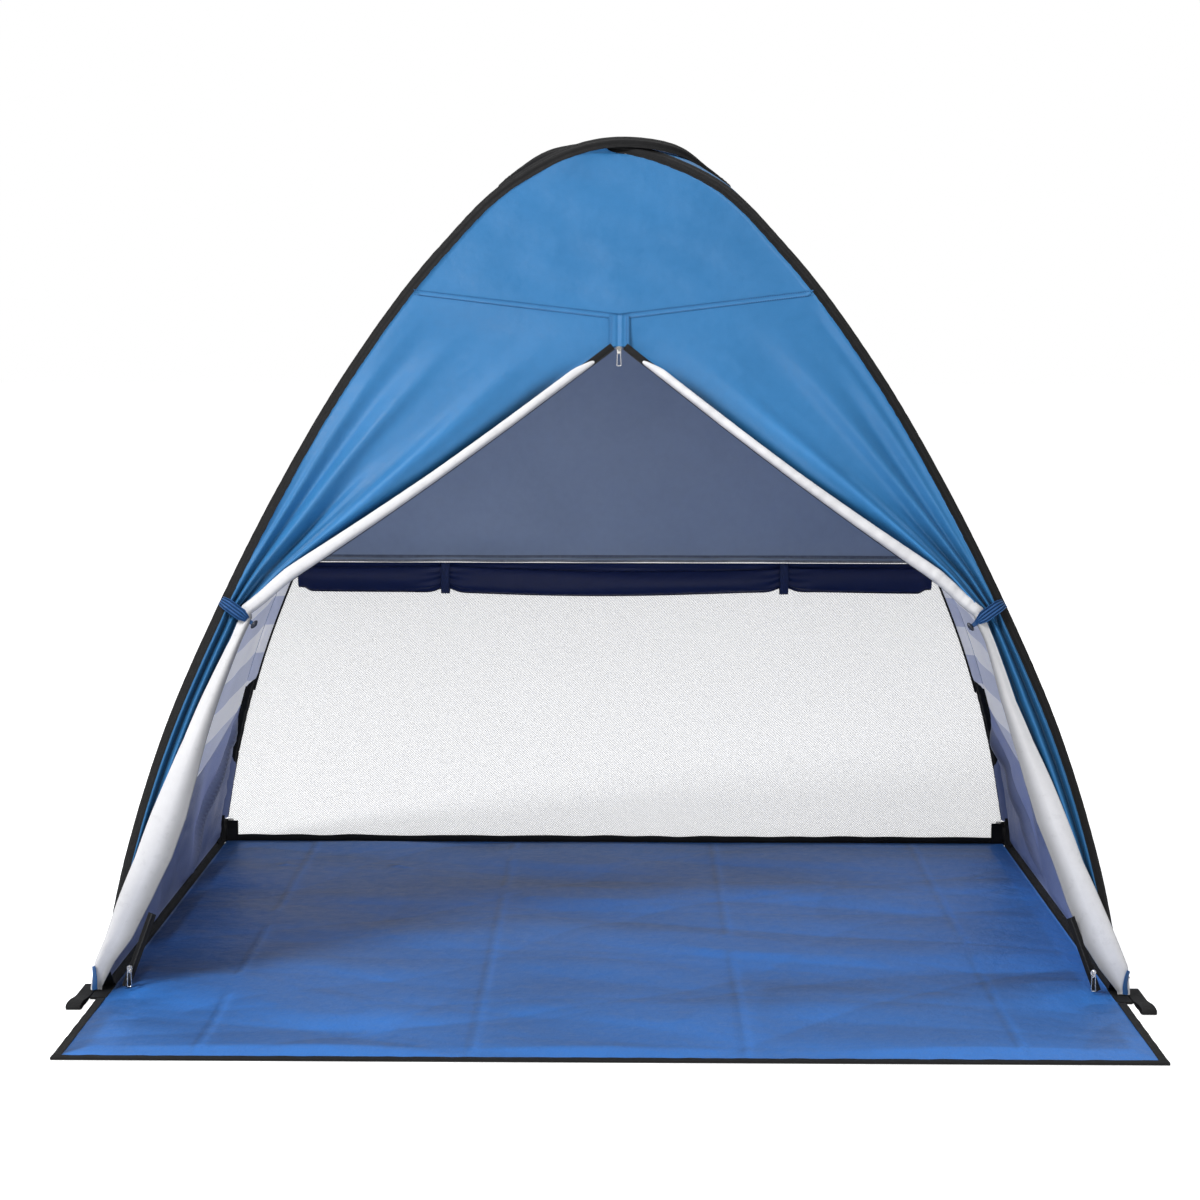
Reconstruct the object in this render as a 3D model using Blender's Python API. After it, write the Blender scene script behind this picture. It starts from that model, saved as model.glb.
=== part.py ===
"""Pop-up beach tent on two crossing spring-wire loops, with tied-back door halves and a mesh rear window.

Metres, +Z up, the doorway toward -Y and +X to the right when looking into the doorway.
The origin is on the ground at the middle of the footprint.
"""

import math

import bmesh
import bpy
import numpy as np

# Overall sizes
hoop_half_span = 0.825
body_depth = 1.200
threshold_setback = 0.050
apron_depth = 0.340
crown_height = 1.392
crossing_setback = 0.400
crown_overshoot = 0.205
overshoot_drop = 0.065
crossing_drop = 0.004
corner_radius = 0.050

# Clearances
seam_gap = 0.0004
join_gap = 0.0006
fold_gap = 0.0003
hang_gap = 0.0003

# Spring wire, its ferrule and the sleeves round it
wire_radius = 0.0025
wire_end_gap = 0.0005
bore_clearance = 0.0004
bore_radius = wire_radius + bore_clearance
ferrule_radius = 0.0039
ferrule_length = 0.040
ferrule_ramp = 0.030
sleeve_width = 0.028
sleeve_thickness = 0.0070
sleeve_crest = 0.0060
binding_width = 0.026
binding_crest = 0.0058
binding_wall = 0.0008
wire_floor_height = ferrule_radius + bore_clearance + binding_wall
lap_spread = 0.150
lap_margin = 0.006
lap_gap = 0.0025
arch_spacing = 0.075
crown_spacing = 0.036
crown_reach = 0.180

# Cloth
cloth_thickness = 0.0015
mesh_thickness = 0.0012
floor_thickness = 0.0015
header_seam_drop = 0.040
side_seam_sag = 0.080
hem_height = 0.012
side_hem_height = 0.016
panel_columns = 6
crown_rise = 0.026

# Door halves
zip_offset = 0.010
zip_drop = 0.050
zip_part_width = 0.0030
tie_width = 0.034
door_foot_width = 0.055
door_middle_width = 0.060
door_tip_width = 0.016
door_taper_height = 0.140
door_middle_height = 0.300
door_roll_thickness = 0.012
door_bunch_thickness = 0.020
door_curtain_thickness = 0.007
door_edge_sag = 0.010
door_columns = 8

# Zips
placket_width = 0.034
placket_thickness = 0.0012
tape_width = 0.014
tape_thickness = 0.0010
tape_setback = 0.0012
slider_width = 0.0090
slider_length = 0.0130
slider_thickness = 0.0042
slider_standoff = 0.0010
bridge_width = 0.0020
bridge_rise = 0.0056
bridge_rod = 0.0008
pull_length = 0.0260
pull_width = 0.0086
pull_thickness = 0.0014
pull_eye_radius = 0.0030

# Straps
strap_thickness = 0.0018
tie_strap_width = 0.018
tie_strap_clearance = 0.0008
tie_neck_width = 0.007
tie_neck_length = 0.006
tie_neck_reach = 0.012
toggle_radius = 0.0042
toggle_waist = 0.0018
toggle_length = 0.016
foot_zip_height = 0.130
foot_slider_height = 0.042
loop_width = 0.024
front_loop_length = 0.150
front_loop_tuck = 0.035
rear_loop_length = 0.046
rear_loop_inset = 0.014
loop_eye_height = 0.0070

# Rolled window flap
roll_height = 0.054
roll_depth = 0.030
roll_half_length = 0.630
roll_drop = 0.004
roll_sag = 0.010
roll_tie_spacing = 0.683
roll_tie_width = 0.020
roll_tie_thickness = 0.0014
piping_radius = 0.0024

# Floor bindings
tape_binding_width = 0.014
tape_binding_leg = 0.0009
tape_binding_overlap = 0.0085
binding_end_setback = 0.0040

# Shapes of the loops, as shares of the half span and of the crown height, from the foot to the crown
arch_width_shares = (1.0, 0.954, 0.884, 0.785, 0.669, 0.531, 0.355, 0.210, 0.0)
arch_height_shares = (0.0, 0.144, 0.289, 0.433, 0.577, 0.722, 0.866, 0.952, 1.0)
header_seam_share = 0.8154
rear_seam_share = 0.4346
side_seam_share = 0.2155
tie_share = 0.4397
facing_share = 0.8527
lean_power = 1.5
wall_fade_powers = (10.0, 1.0, 3.0)
overshoot_width_shares = (0.52, 0.84, 1.0)
overshoot_depth_shares = (0.12, 0.48, 1.0)
overshoot_drop_shares = (0.22, 0.74, 1.0)
samples_per_span = 40
corner_steps = 6
roll_start_share = 0.7
bunch_rows = 1.6
tail_share = 0.72
bridge_share = 0.3
loop_neck_share = 0.35
tie_slack_share = 0.35
tie_slant = 36.0
tie_root_share = 0.44
tie_root_rise_share = 0.5
toggle_sides = 8
foot_tape_share = 0.25
pull_sides = 12
roll_sides = 10
roll_spans = 6
crown_columns = 4

# Places that follow from the sizes above
floor_base = tape_binding_leg + seam_gap
floor_top = floor_base + floor_thickness
binding_height = floor_top + seam_gap + tape_binding_leg
loop_depth = loop_eye_height + strap_thickness
rear_reach = seam_gap + seam_gap + tape_binding_width + seam_gap + loop_depth
footprint_depth = apron_depth + threshold_setback + body_depth + rear_reach
front_edge_y = -footprint_depth / 2
threshold_y = front_edge_y + apron_depth
foot_y = threshold_y + threshold_setback
middle_y = foot_y + body_depth / 2
rear_y = foot_y + body_depth
edge_reach = sleeve_width / 2 + seam_gap
header_seam_height = crown_height * header_seam_share
rear_seam_height = crown_height * rear_seam_share
side_seam_height = crown_height * side_seam_share
tie_height = crown_height * tie_share
facing_height = crown_height * facing_share
zip_height = header_seam_height - header_seam_drop - zip_drop
lap_clearance = sleeve_width + lap_margin

colours = {
    "blue": (0.060, 0.225, 0.520),
    "navy": (0.020, 0.045, 0.180),
    "floor_blue": (0.070, 0.190, 0.440),
    "silver": (0.760, 0.760, 0.780),
    "stripe": (0.480, 0.540, 0.660),
    "black": (0.015, 0.015, 0.017),
    "mesh": (0.780, 0.780, 0.780),
    "steel": (0.550, 0.550, 0.560),
    "plastic": (0.020, 0.022, 0.030),
    "grey": (0.300, 0.330, 0.380),
}


def clear_scene():
    for old in list(bpy.data.objects):
        bpy.data.objects.remove(old, do_unlink=True)


def new_material(name, colour, roughness, metallic=0.0):
    material = bpy.data.materials.new(name)
    material.use_nodes = True
    shader = material.node_tree.nodes["Principled BSDF"]
    shader.inputs["Base Color"].default_value = (*colour, 1.0)
    shader.inputs["Roughness"].default_value = roughness
    shader.inputs["Metallic"].default_value = metallic
    return material


def add_solid(name, points, faces, finish, roughness=0.6, metallic=0.0, origin=(0.0, 0.0, 0.0)):
    """One closed body from points and faces, with its faces turned outward and its origin where given."""
    mesh = bpy.data.meshes.new(name)
    place = np.asarray(origin, dtype=float)
    mesh.from_pydata((np.asarray(points, dtype=float) - place).tolist(), [], faces)
    shape = bmesh.new()
    shape.from_mesh(mesh)
    bmesh.ops.recalc_face_normals(shape, faces=shape.faces)
    shape.to_mesh(mesh)
    shape.free()
    mesh.shade_smooth()
    mesh.set_sharp_from_angle(angle=math.radians(35.0))
    mesh.materials.append(new_material(name, colours[finish], roughness, metallic))
    body = bpy.data.objects.new(name, mesh)
    body.location = place
    bpy.context.scene.collection.objects.link(body)
    return body


def unit(vectors):
    vectors = np.asarray(vectors, dtype=float)
    return vectors / np.linalg.norm(vectors, axis=-1, keepdims=True)


def mirrored(points, axis, plane=0.0):
    """The points mirrored in the plane across an axis, 0 for X and 1 for Y."""
    result = np.array(points, dtype=float)
    result[..., axis] = plane + plane - result[..., axis]
    return result


def smooth_curve(points):
    """Points along a cubic through the given ones, whose slope at each one comes from its two neighbours."""
    points = np.asarray(points, dtype=float)
    chord = np.linalg.norm(np.diff(points, axis=0), axis=1)
    place = np.concatenate([[0.0], np.cumsum(chord)])
    slope = np.gradient(points, place, axis=0)
    curve = []
    for i, length in enumerate(chord):
        t = np.linspace(0.0, 1.0, samples_per_span, endpoint=False)[:, None]
        curve.append(
            (2 * t**3 - 3 * t**2 + 1) * points[i]
            + (t**3 - 2 * t**2 + t) * length * slope[i]
            + (3 * t**2 - 2 * t**3) * points[i + 1]
            + (t**3 - t**2) * length * slope[i + 1]
        )
    return np.vstack([*curve, points[-1:]])


def run_lengths(points):
    return np.concatenate([[0.0], np.cumsum(np.linalg.norm(np.diff(points, axis=0), axis=1))])


def read_at(points, lengths, wanted):
    return np.stack([np.interp(wanted, lengths, points[:, axis]) for axis in range(3)], axis=-1)


def even_steps(breaks, steps):
    """Places from the first break to the last, each stretch divided evenly into steps of about its size."""
    places = [breaks[0]]
    for start, end, step in zip(breaks[:-1], breaks[1:], steps):
        count = max(1, math.ceil((end - start) / step))
        places.extend(start + (end - start) * (k + 1) / count for k in range(count))
    return np.array(places)


class Run:
    """Stations along a loop: each has its point, the way across the sleeve and the way out of the tent."""

    def __init__(self, point, across, out):
        self.point = point
        self.across = across
        self.out = out

    def part(self, chosen):
        return Run(self.point[chosen], self.across[chosen], self.out[chosen])

    def turned(self, axis, plane=0.0):
        return Run(mirrored(self.point, axis, plane), mirrored(self.across, axis), mirrored(self.out, axis))

    def joined(self, other):
        pairs = zip((self.point, self.across, self.out), (other.point, other.across, other.out))
        return Run(*(np.vstack(pair) for pair in pairs))

    def edge(self, reach):
        return self.point + self.across * reach


def arch_curve():
    """The left loop from its front foot, over the crossing, to the far end of its overshoot."""
    stations = []
    crossing_height = crown_height - crossing_drop
    for width_share, height_share in zip(arch_width_shares, arch_height_shares):
        height = wire_floor_height + (crossing_height - wire_floor_height) * height_share
        setback = crossing_setback * height_share**lean_power
        stations.append((-hoop_half_span * width_share, foot_y + setback, height))
    shares = zip(overshoot_width_shares, overshoot_depth_shares, overshoot_drop_shares)
    for width_share, depth_share, drop_share in shares:
        x = crown_overshoot * width_share
        y = foot_y + crossing_setback + (body_depth / 2 - crossing_setback) * depth_share
        stations.append((x, y, crown_height - overshoot_drop * drop_share))
    curve = smooth_curve(stations)
    crossing = (len(arch_width_shares) - 1) * samples_per_span
    return curve, crossing


def front_half(lift):
    """The front half of the left loop, from the middle of the floor side to the end of the overshoot.

    Near the crossing the loop is lifted off the surface by the given height, so that the two loops lap.
    """
    curve, crossing = arch_curve()
    lengths = run_lengths(curve)
    rising = curve[: crossing + 1, 2]
    marks = [corner_radius + join_gap]
    for height in (side_seam_height, rear_seam_height, tie_height, header_seam_height):
        marks.append(float(np.interp(height, rising, lengths[: crossing + 1])))
    steps = [arch_spacing] * len(marks) + [crown_spacing, crown_spacing]
    marks += [lengths[crossing] - crown_reach, lengths[crossing], lengths[-1]]
    places = even_steps(marks, steps)
    arch = read_at(curve, lengths, places)
    foot = curve[0]
    up = unit(read_at(curve, lengths, corner_radius) - foot)
    back = np.array([0.0, 1.0, 0.0])
    floor_marks = [
        corner_radius,
        body_depth / 2 - ferrule_length / 2 - ferrule_ramp,
        body_depth / 2 - ferrule_length / 2,
        body_depth / 2 - wire_end_gap / 2,
    ]
    floor_places = even_steps(floor_marks, [body_depth / 4, ferrule_ramp, ferrule_length])
    floor_run = foot + back * floor_places[:, None]
    turns = np.linspace(math.pi / 2, 0.0, corner_steps + 1)[1:, None]
    corner = foot + up * corner_radius * (1 - np.sin(turns)) + back * corner_radius * (1 - np.cos(turns))
    points = np.vstack([floor_run[::-1], corner, arch])
    core = np.array([0.0, middle_y, facing_height])
    hints = unit(points - core)
    flat_count = len(floor_run)
    hints[:flat_count] = (0.0, 0.0, -1.0)
    for k in range(corner_steps):
        share = (k + 1) / (corner_steps + 1)
        low, high = hints[flat_count - 1], hints[flat_count + corner_steps]
        hints[flat_count + k] = unit((1 - share) * low + share * high)
    tangents = unit(np.gradient(points, axis=0))
    tangents[-1] = back
    tangents[: flat_count - 1] = -back
    tangents[flat_count + corner_steps - 1 : flat_count + corner_steps + 1] = up
    out = unit(hints - tangents * np.sum(hints * tangents, axis=1, keepdims=True))
    across = np.cross(tangents, out)
    from_crossing = np.zeros(len(points))
    from_crossing[flat_count + corner_steps :] = places - lengths[crossing]
    from_crossing[: flat_count + corner_steps] = -lengths[crossing]
    rise = lift * np.exp(-((from_crossing / lap_spread) ** 4))
    points = points + out * rise[:, None]
    foot_index = flat_count + corner_steps
    indices = {"foot": foot_index}
    for name, height in (
        ("side_seam", side_seam_height),
        ("rear_seam", rear_seam_height),
        ("tie", tie_height),
        ("header_seam", header_seam_height),
    ):
        place = float(np.interp(height, rising, lengths[: crossing + 1]))
        indices[name] = foot_index + int(np.argmin(np.abs(places - place)))
    indices["crossing"] = foot_index + int(np.argmin(np.abs(places - lengths[crossing])))
    return Run(points, across, out), indices


def swept(run, outer, inner=None):
    """Points and faces of a section carried along a run, with a bore where an inner section is given.

    A section is a list of places across and out, or one such list for each station.
    """
    count = len(run.point)

    def rings(section):
        section = np.asarray(section, dtype=float)
        if section.ndim == 2:
            section = np.repeat(section[None], count, axis=0)
        return (
            run.point[:, None]
            + run.across[:, None] * section[:, :, 0, None]
            + run.out[:, None] * section[:, :, 1, None]
        )

    shell = rings(outer)
    sides = shell.shape[1]
    points = shell.reshape(-1, 3)
    faces = []

    def walls(start):
        for i in range(count - 1):
            for j in range(sides):
                k = (j + 1) % sides
                faces.append(
                    (
                        start + i * sides + j,
                        start + i * sides + k,
                        start + (i + 1) * sides + k,
                        start + (i + 1) * sides + j,
                    )
                )

    walls(0)
    last = (count - 1) * sides
    if inner is None:
        faces.append(tuple(range(sides)))
        faces.append(tuple(last + j for j in range(sides)))
        return points, faces
    start = len(points)
    points = np.vstack([points, rings(inner).reshape(-1, 3)])
    walls(start)
    for end in (0, last):
        for j in range(sides):
            k = (j + 1) % sides
            faces.append((end + j, end + k, start + end + k, start + end + j))
    return points, faces


def round_section(radius, sides=6):
    turns = [-math.tau * k / sides for k in range(sides)]
    return [(radius * math.cos(turn), radius * math.sin(turn)) for turn in turns]


def sleeve_section():
    half, crest, rise = sleeve_width / 2, sleeve_crest, sleeve_thickness / 2
    return [(half, 0.0), (crest, -rise), (-crest, -rise), (-half, 0.0), (-crest, rise), (crest, rise)]


def binding_section(bore):
    """A flat-bottomed section that rests on the ground, with its top following the bore."""
    half, top = binding_width / 2, bore + binding_wall
    base = wire_floor_height
    crest = [(half, base), (binding_crest, -top), (-binding_crest, -top), (-half, base)]
    return crest + [(-bore, base), (bore, base)]


def sheet(rows, thickness):
    """Points and faces of a closed sheet of cloth about a grid of points, as thick as the thickness says."""
    rows = np.asarray(rows, dtype=float)
    down, along = rows.shape[:2]
    normals = unit(np.cross(np.gradient(rows, axis=0), np.gradient(rows, axis=1)))
    half = normals * (np.broadcast_to(thickness, (down, along))[..., None] / 2)
    points = np.vstack([(rows + half).reshape(-1, 3), (rows - half).reshape(-1, 3)])
    layer = down * along
    faces = []
    for i in range(down - 1):
        for j in range(along - 1):
            a = i * along + j
            quad = (a, a + 1, a + along + 1, a + along)
            faces.append(quad)
            faces.append(tuple(layer + k for k in reversed(quad)))
    rim = [j for j in range(along)]
    rim += [i * along + along - 1 for i in range(1, down)]
    rim += [(down - 1) * along + j for j in range(along - 2, -1, -1)]
    rim += [i * along for i in range(down - 2, 0, -1)]
    for a, b in zip(rim, rim[1:] + rim[:1]):
        faces.append((a, layer + a, layer + b, b))
    return points, faces


def between(start, end, count):
    """Rows of points from each start point straight to its end point."""
    shares = np.linspace(0.0, 1.0, count + 1)[None, :, None]
    return start[:, None] * (1 - shares) + end[:, None] * shares


def distance_to(point, line):
    """How far a point is from a line of straight pieces."""
    start, step = line[:-1], np.diff(line, axis=0)
    share = np.clip(np.sum((point - start) * step, axis=1) / np.sum(step * step, axis=1), 0.0, 1.0)
    return float(np.min(np.linalg.norm(start + step * share[:, None] - point, axis=1)))


def clear_of(run, other, distance):
    """The number of stations from the start of a run until it is this far from another run."""
    for k, point in enumerate(run.point):
        if distance_to(point, other.point) > distance:
            return k
    return len(run.point) - 1


def ribbon(path, across, width, thickness):
    """Points and faces of a strap that follows a path, of one width or of one for each of its points."""
    path = np.asarray(path, dtype=float)
    tangent = unit(np.gradient(path, axis=0))
    across = np.broadcast_to(unit(across), path.shape)
    out = unit(np.cross(tangent, across))
    rise = thickness / 2
    halves = np.broadcast_to(width, len(path)) / 2
    sections = [[(half, -rise), (half, rise), (-half, rise), (-half, -rise)] for half in halves]
    return swept(Run(path, across, out), sections)


def bar(low, high):
    """Points and faces of a straight box between two corners."""
    corners = [(x, y, z) for x in (low[0], high[0]) for y in (low[1], high[1]) for z in (low[2], high[2])]
    faces = [(0, 1, 3, 2), (4, 6, 7, 5), (0, 4, 5, 1), (2, 3, 7, 6), (0, 2, 6, 4), (1, 5, 7, 3)]
    return corners, faces


def extruded(outline, start, end):
    """Points and faces of an outline of 3-D points moved from one offset to another."""
    outline = np.asarray(outline, dtype=float)
    count = len(outline)
    points = np.vstack([outline + start, outline + end])
    faces = [tuple(range(count)), tuple(range(count, 2 * count))]
    for j in range(count):
        k = (j + 1) % count
        faces.append((j, k, count + k, count + j))
    return points, faces


def build_loops():
    """Both loops' runs. The left one laps over the right one at both crossings."""
    lift = sleeve_thickness / 2 + lap_gap
    left, indices = front_half(lift)
    right, _ = front_half(-lift)
    return left, right.turned(0), indices


def whole_run(front, first):
    """A run over the crown from a station on the front to the same station on the rear."""
    start = front.part(slice(first, None))
    rear = front.turned(1, middle_y).part(slice(first, -1))
    return start.joined(rear.part(slice(None, None, -1)))


def build_frame(name, front, indices):
    """The wire, ferrule, arch sleeve and side binding of one loop."""
    side = -1.0 if name == "left" else 1.0
    foot = indices["foot"]
    wire = whole_run(front, 0)
    add_solid(f"{name}_hoop_wire", *swept(wire, round_section(wire_radius)), "steel", 0.35, 1.0)
    sleeve = whole_run(front, foot)
    section = swept(sleeve, sleeve_section(), round_section(bore_radius))
    add_solid(f"{name}_hoop_sleeve", *section, "black", 0.8)
    half = front.part(slice(0, foot))
    binding = half.turned(1, middle_y).part(slice(None, 0, -1)).joined(half)
    from_middle = np.abs(binding.point[:, 1] - middle_y)
    swell = np.clip((ferrule_length / 2 + ferrule_ramp - from_middle) / ferrule_ramp, 0.0, 1.0)
    bores = bore_radius + (ferrule_radius - wire_radius) * swell
    outer = [binding_section(bore) for bore in bores]
    inner = [round_section(bore) for bore in bores]
    add_solid(f"{name}_floor_binding", *swept(binding, outer, inner), "black", 0.8)
    ends = np.array([middle_y - ferrule_length / 2, middle_y + ferrule_length / 2])
    centre = np.array([[side * hoop_half_span, y, wire_floor_height] for y in ends])
    crimp = Run(centre, np.array([[1.0, 0.0, 0.0]] * 2), np.array([[0.0, 0.0, 1.0]] * 2))
    add_solid(
        f"{name}_hoop_ferrule",
        *swept(crimp, round_section(ferrule_radius), round_section(bore_radius)),
        "steel",
        0.3,
        1.0,
    )


class Face:
    """The taut cloth between two edges that rise from the feet toward the crossing."""

    def __init__(self, left_edge, right_edge):
        self.left = left_edge[np.argsort(left_edge[:, 2])]
        self.right = right_edge[np.argsort(right_edge[:, 2])]

    def end(self, edge, height):
        return np.array([np.interp(height, edge[:, 2], edge[:, axis]) for axis in range(3)])

    def point(self, x, height):
        a, b = self.end(self.left, height), self.end(self.right, height)
        share = (x - a[0]) / (b[0] - a[0])
        return a + (b - a) * share


def front_face(left, right, indices):
    rising = slice(indices["foot"], indices["crossing"])
    return Face(left.edge(edge_reach)[rising], right.edge(edge_reach)[rising])


def seam_height(x, left_end, right_end):
    """The height of the header seam, which falls straight from both sleeves to the zip."""
    end = left_end if x < zip_offset else right_end
    share = (x - zip_offset) / (end[0] - zip_offset)
    return end[2] - header_seam_drop * (1 - share)


def build_header(left, right, indices):
    """The front panel above the header seam, with a column of points down its middle to the seam's dip."""
    first, last = indices["header_seam"], indices["crossing"]
    top = last - clear_of(left.part(slice(last, first, -1)), right.part(slice(first, last + 1)), sleeve_width)
    chosen = slice(first, top + 1)
    left_edge, right_edge = left.edge(edge_reach)[chosen], right.edge(edge_reach)[chosen]
    face = front_face(left, right, indices)
    middle = np.array([face.point(zip_offset, (a[2] + b[2]) / 2) for a, b in zip(left_edge, right_edge)])
    left_rows = between(left_edge, middle, panel_columns)[:, :-1]
    rows = np.concatenate([left_rows, between(middle, right_edge, panel_columns)], axis=1)
    count = len(rows)
    for k in range(count):
        fade = (1 - k / (count - 1)) ** 2
        for j in range(1, rows.shape[1] - 1):
            x = rows[k, j, 0]
            drop = rows[0, j, 2] - seam_height(x, left_edge[0], right_edge[0]) if k == 0 else 0.0
            if k > 0:
                half = left_edge[k] if x < zip_offset else right_edge[k]
                drop = header_seam_drop * (1 - (x - zip_offset) / (half[0] - zip_offset)) * fade
            rows[k, j] = face.point(x, rows[k, j, 2] - drop)
    add_solid("front_header_panel", *sheet(rows, cloth_thickness), "blue", 0.55)


def door_width(height):
    """How wide the gathered door half hangs beside its sleeve, between the tie and the ground."""
    heights = (hem_height, door_taper_height, door_middle_height, tie_height)
    return float(np.interp(height, heights, (door_tip_width, door_foot_width, door_middle_width, tie_width)))


def door_grid(front, other, face, indices, side):
    """Rows of one door half, drawn back from the zip to its tie and hanging from the tie to its foot."""
    last, tie, foot = indices["header_seam"], indices["tie"], indices["foot"]
    edge = front.edge(edge_reach)
    ends = (edge[last], other.edge(edge_reach)[last])
    left_end, right_end = ends if side < 0 else ends[::-1]
    zip_x = zip_offset + side * zip_part_width / 2
    tie_x = edge[tie, 0] - side * tie_width
    seam_low = seam_height(zip_x, left_end, right_end)
    inner = [face.point(zip_x, seam_low - seam_gap), face.point(zip_x, zip_height)]
    fan = last - tie
    for k in range(1, fan):
        share = k / (fan - 1)
        x = zip_x + (tie_x - zip_x) * share
        sag = door_edge_sag * math.sin(math.pi * share)
        inner.append(face.point(x, zip_height + (tie_height - zip_height) * share - sag))
    outer = [edge[last - k] for k in range(fan + 1)]
    for k in range(tie - 1, foot - 1, -1):
        width = door_width(edge[k, 2])
        outer.append(edge[k])
        inner.append(edge[k] - np.array([side * width, 0.0, 0.0]))
    hem = np.array([outer[-1][0], outer[-1][1], hem_height])
    outer.append(hem)
    inner.append(hem - np.array([side * door_width(hem_height), 0.0, 0.0]))
    rows = between(np.array(outer), np.array(inner), door_columns)
    for j in range(door_columns + 1):
        x = rows[0, j, 0]
        rows[0, j] = face.point(x, seam_height(x, left_end, right_end) - seam_gap)
    return rows, fan


def door_thickness(shape, fan):
    """Thin at the sleeve, thick along the rolled edge, and gathered into a bunch at the tie."""
    down, along = shape
    thickness = np.full(shape, cloth_thickness)
    for i in range(down):
        for j in range(1, along):
            share = j / (along - 1)
            near_edge = max(0.0, (share - roll_start_share) / (1 - roll_start_share))
            roll = door_roll_thickness * near_edge**0.5 if i > 1 else 0.0
            rounded = math.sin(math.pi * share) ** 0.5
            bunch = door_bunch_thickness * rounded * math.exp(-(((i - fan) / bunch_rows) ** 2))
            curtain = door_curtain_thickness if i > fan else 0.0
            thickness[i, j] = max(cloth_thickness, roll, bunch, curtain)
    return thickness


def build_door(name, front, other, face, indices):
    side = -1.0 if name == "left" else 1.0
    rows, fan = door_grid(front, other, face, indices, side)
    thickness = door_thickness(rows.shape[:2], fan)
    add_solid(f"{name}_door", *sheet(rows, thickness), "blue", 0.5)
    return rows, thickness, fan


def build_door_tape(name, rows, thickness, fan):
    """The zip tape sewn behind the door's rolled edge, from the slider down to the tie."""
    edge = rows[1:fan, -1]
    inward = unit(rows[1:fan, -2] - edge)
    back = np.array([0.0, 1.0, 0.0])
    reach = thickness[1:fan, -1] / 2 + tape_setback + tape_thickness / 2
    path = edge + inward * tape_width / 2 + back * reach[:, None]
    add_solid(f"{name}_zip_tape", *ribbon(path, inward, tape_width, tape_thickness), "black", 0.8)


def build_tie(name, rows, fan, face):
    """The strap that holds the gathered door, looped round it into an eye, and the toggle in that eye."""
    start, end = rows[fan, 0], rows[fan, -1]
    lean = unit(face.point(start[0], tie_height + tie_width) - face.point(start[0], tie_height))
    out = np.cross((1.0, 0.0, 0.0), lean)
    slant = math.radians(tie_slant)
    along = unit(end - start) * math.cos(slant) - lean * math.sin(slant)
    place = turned_frame((start + end) / 2, along, out)
    rise = door_bunch_thickness / 2 + tie_strap_clearance + strap_thickness / 2
    half = tie_width / 2
    eye = toggle_waist + seam_gap + strap_thickness / 2
    neck = half + tie_neck_reach
    centre = neck + tie_neck_length + eye
    pinch = seam_gap / 2 + strap_thickness / 2
    leg = [
        (-tie_width * tie_root_share, rise * tie_root_rise_share),
        (-tie_width * tie_root_share + (rise - pinch) / 2, rise),
        (half - strap_thickness, rise),
        (neck, pinch),
        (neck + tie_neck_length, pinch),
    ]
    turns = np.radians(np.linspace(120.0, -120.0, 9))
    bend = [(centre + eye * math.cos(t), eye * math.sin(t)) for t in turns]
    path = leg + bend + [(a, -c) for a, c in reversed(leg)]
    narrow = [tie_neck_width] * (len(bend) + 4)
    widths = [tie_strap_width] * 3 + narrow + [tie_strap_width] * 3
    across = place(1, 0, 0) - place(0, 0, 0)
    line = [place(0, a, c) for a, c in path]
    add_solid(f"{name}_tie_strap", *ribbon(line, across, widths, strap_thickness), "blue", 0.6)
    reach = toggle_length / 2
    shoulder = tie_neck_width / 2 + seam_gap
    profile = [
        (-reach, toggle_radius * tail_share),
        (-(reach + shoulder) / 2, toggle_radius),
        (-shoulder, toggle_radius * tail_share),
        (-shoulder, toggle_waist),
    ]
    profile += [(-a, r) for a, r in reversed(profile)]
    stations = np.array([place(a, centre, 0) for a, _ in profile])
    count = len(profile)
    run = Run(stations, np.repeat([place(0, 1, 0) - place(0, 0, 0)], count, 0), np.repeat([out], count, 0))
    bead = swept(run, [round_section(radius, toggle_sides) for _, radius in profile])
    add_solid(f"{name}_tie_toggle", *bead, "plastic", 0.4, origin=place(0, centre, 0))


def build_foot_zip(name, rows, thickness):
    """The lower end of the door's zip: its tape down to the foot, its slider and its pull."""
    side = -1.0 if name == "left" else 1.0
    edge, rim = rows[:, -1], thickness[:, -1]
    heights = np.linspace(foot_zip_height, hem_height, 4)
    forward = np.array([0.0, -1.0, 0.0])
    path = []
    for height in heights:
        at = [np.interp(height, edge[::-1, 2], edge[::-1, axis]) for axis in range(3)]
        half = np.interp(height, edge[::-1, 2], rim[::-1]) / 2
        inward = np.array([-side * tape_width * foot_tape_share, 0.0, 0.0])
        path.append(np.array(at) + inward + forward * (half + seam_gap + tape_thickness / 2))
    path = np.array(path)
    across = np.cross(unit(np.gradient(path, axis=0)), forward)
    add_solid(f"{name}_foot_zip_tape", *ribbon(path, across, tape_width, tape_thickness), "black", 0.8)
    centre = np.array([np.interp(foot_slider_height, path[::-1, 2], path[::-1, axis]) for axis in range(3)])
    centre = centre + forward * (tape_thickness / 2 + seam_gap + slider_thickness / 2)
    pivot = build_slider(f"{name}_foot_zip_slider", centre, (0.0, 0.0, 1.0), forward)
    build_pull(f"{name}_foot_zip_pull", pivot, (0.0, 0.0, -1.0), forward)


def build_placket(face, left_end, right_end):
    """The small flap that covers the closed end of the zip, below the header seam."""
    top = seam_height(zip_offset, left_end, right_end) - seam_gap
    low = zip_height - slider_standoff
    forward = cloth_thickness / 2 + seam_gap + placket_thickness / 2
    path = []
    for height in np.linspace(top, low, 3):
        path.append(face.point(zip_offset, height) - np.array([0.0, forward, 0.0]))
    shape = ribbon(path, (1.0, 0.0, 0.0), placket_width, placket_thickness)
    add_solid("zip_placket", *shape, "blue", 0.55)
    return path[-1]


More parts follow.
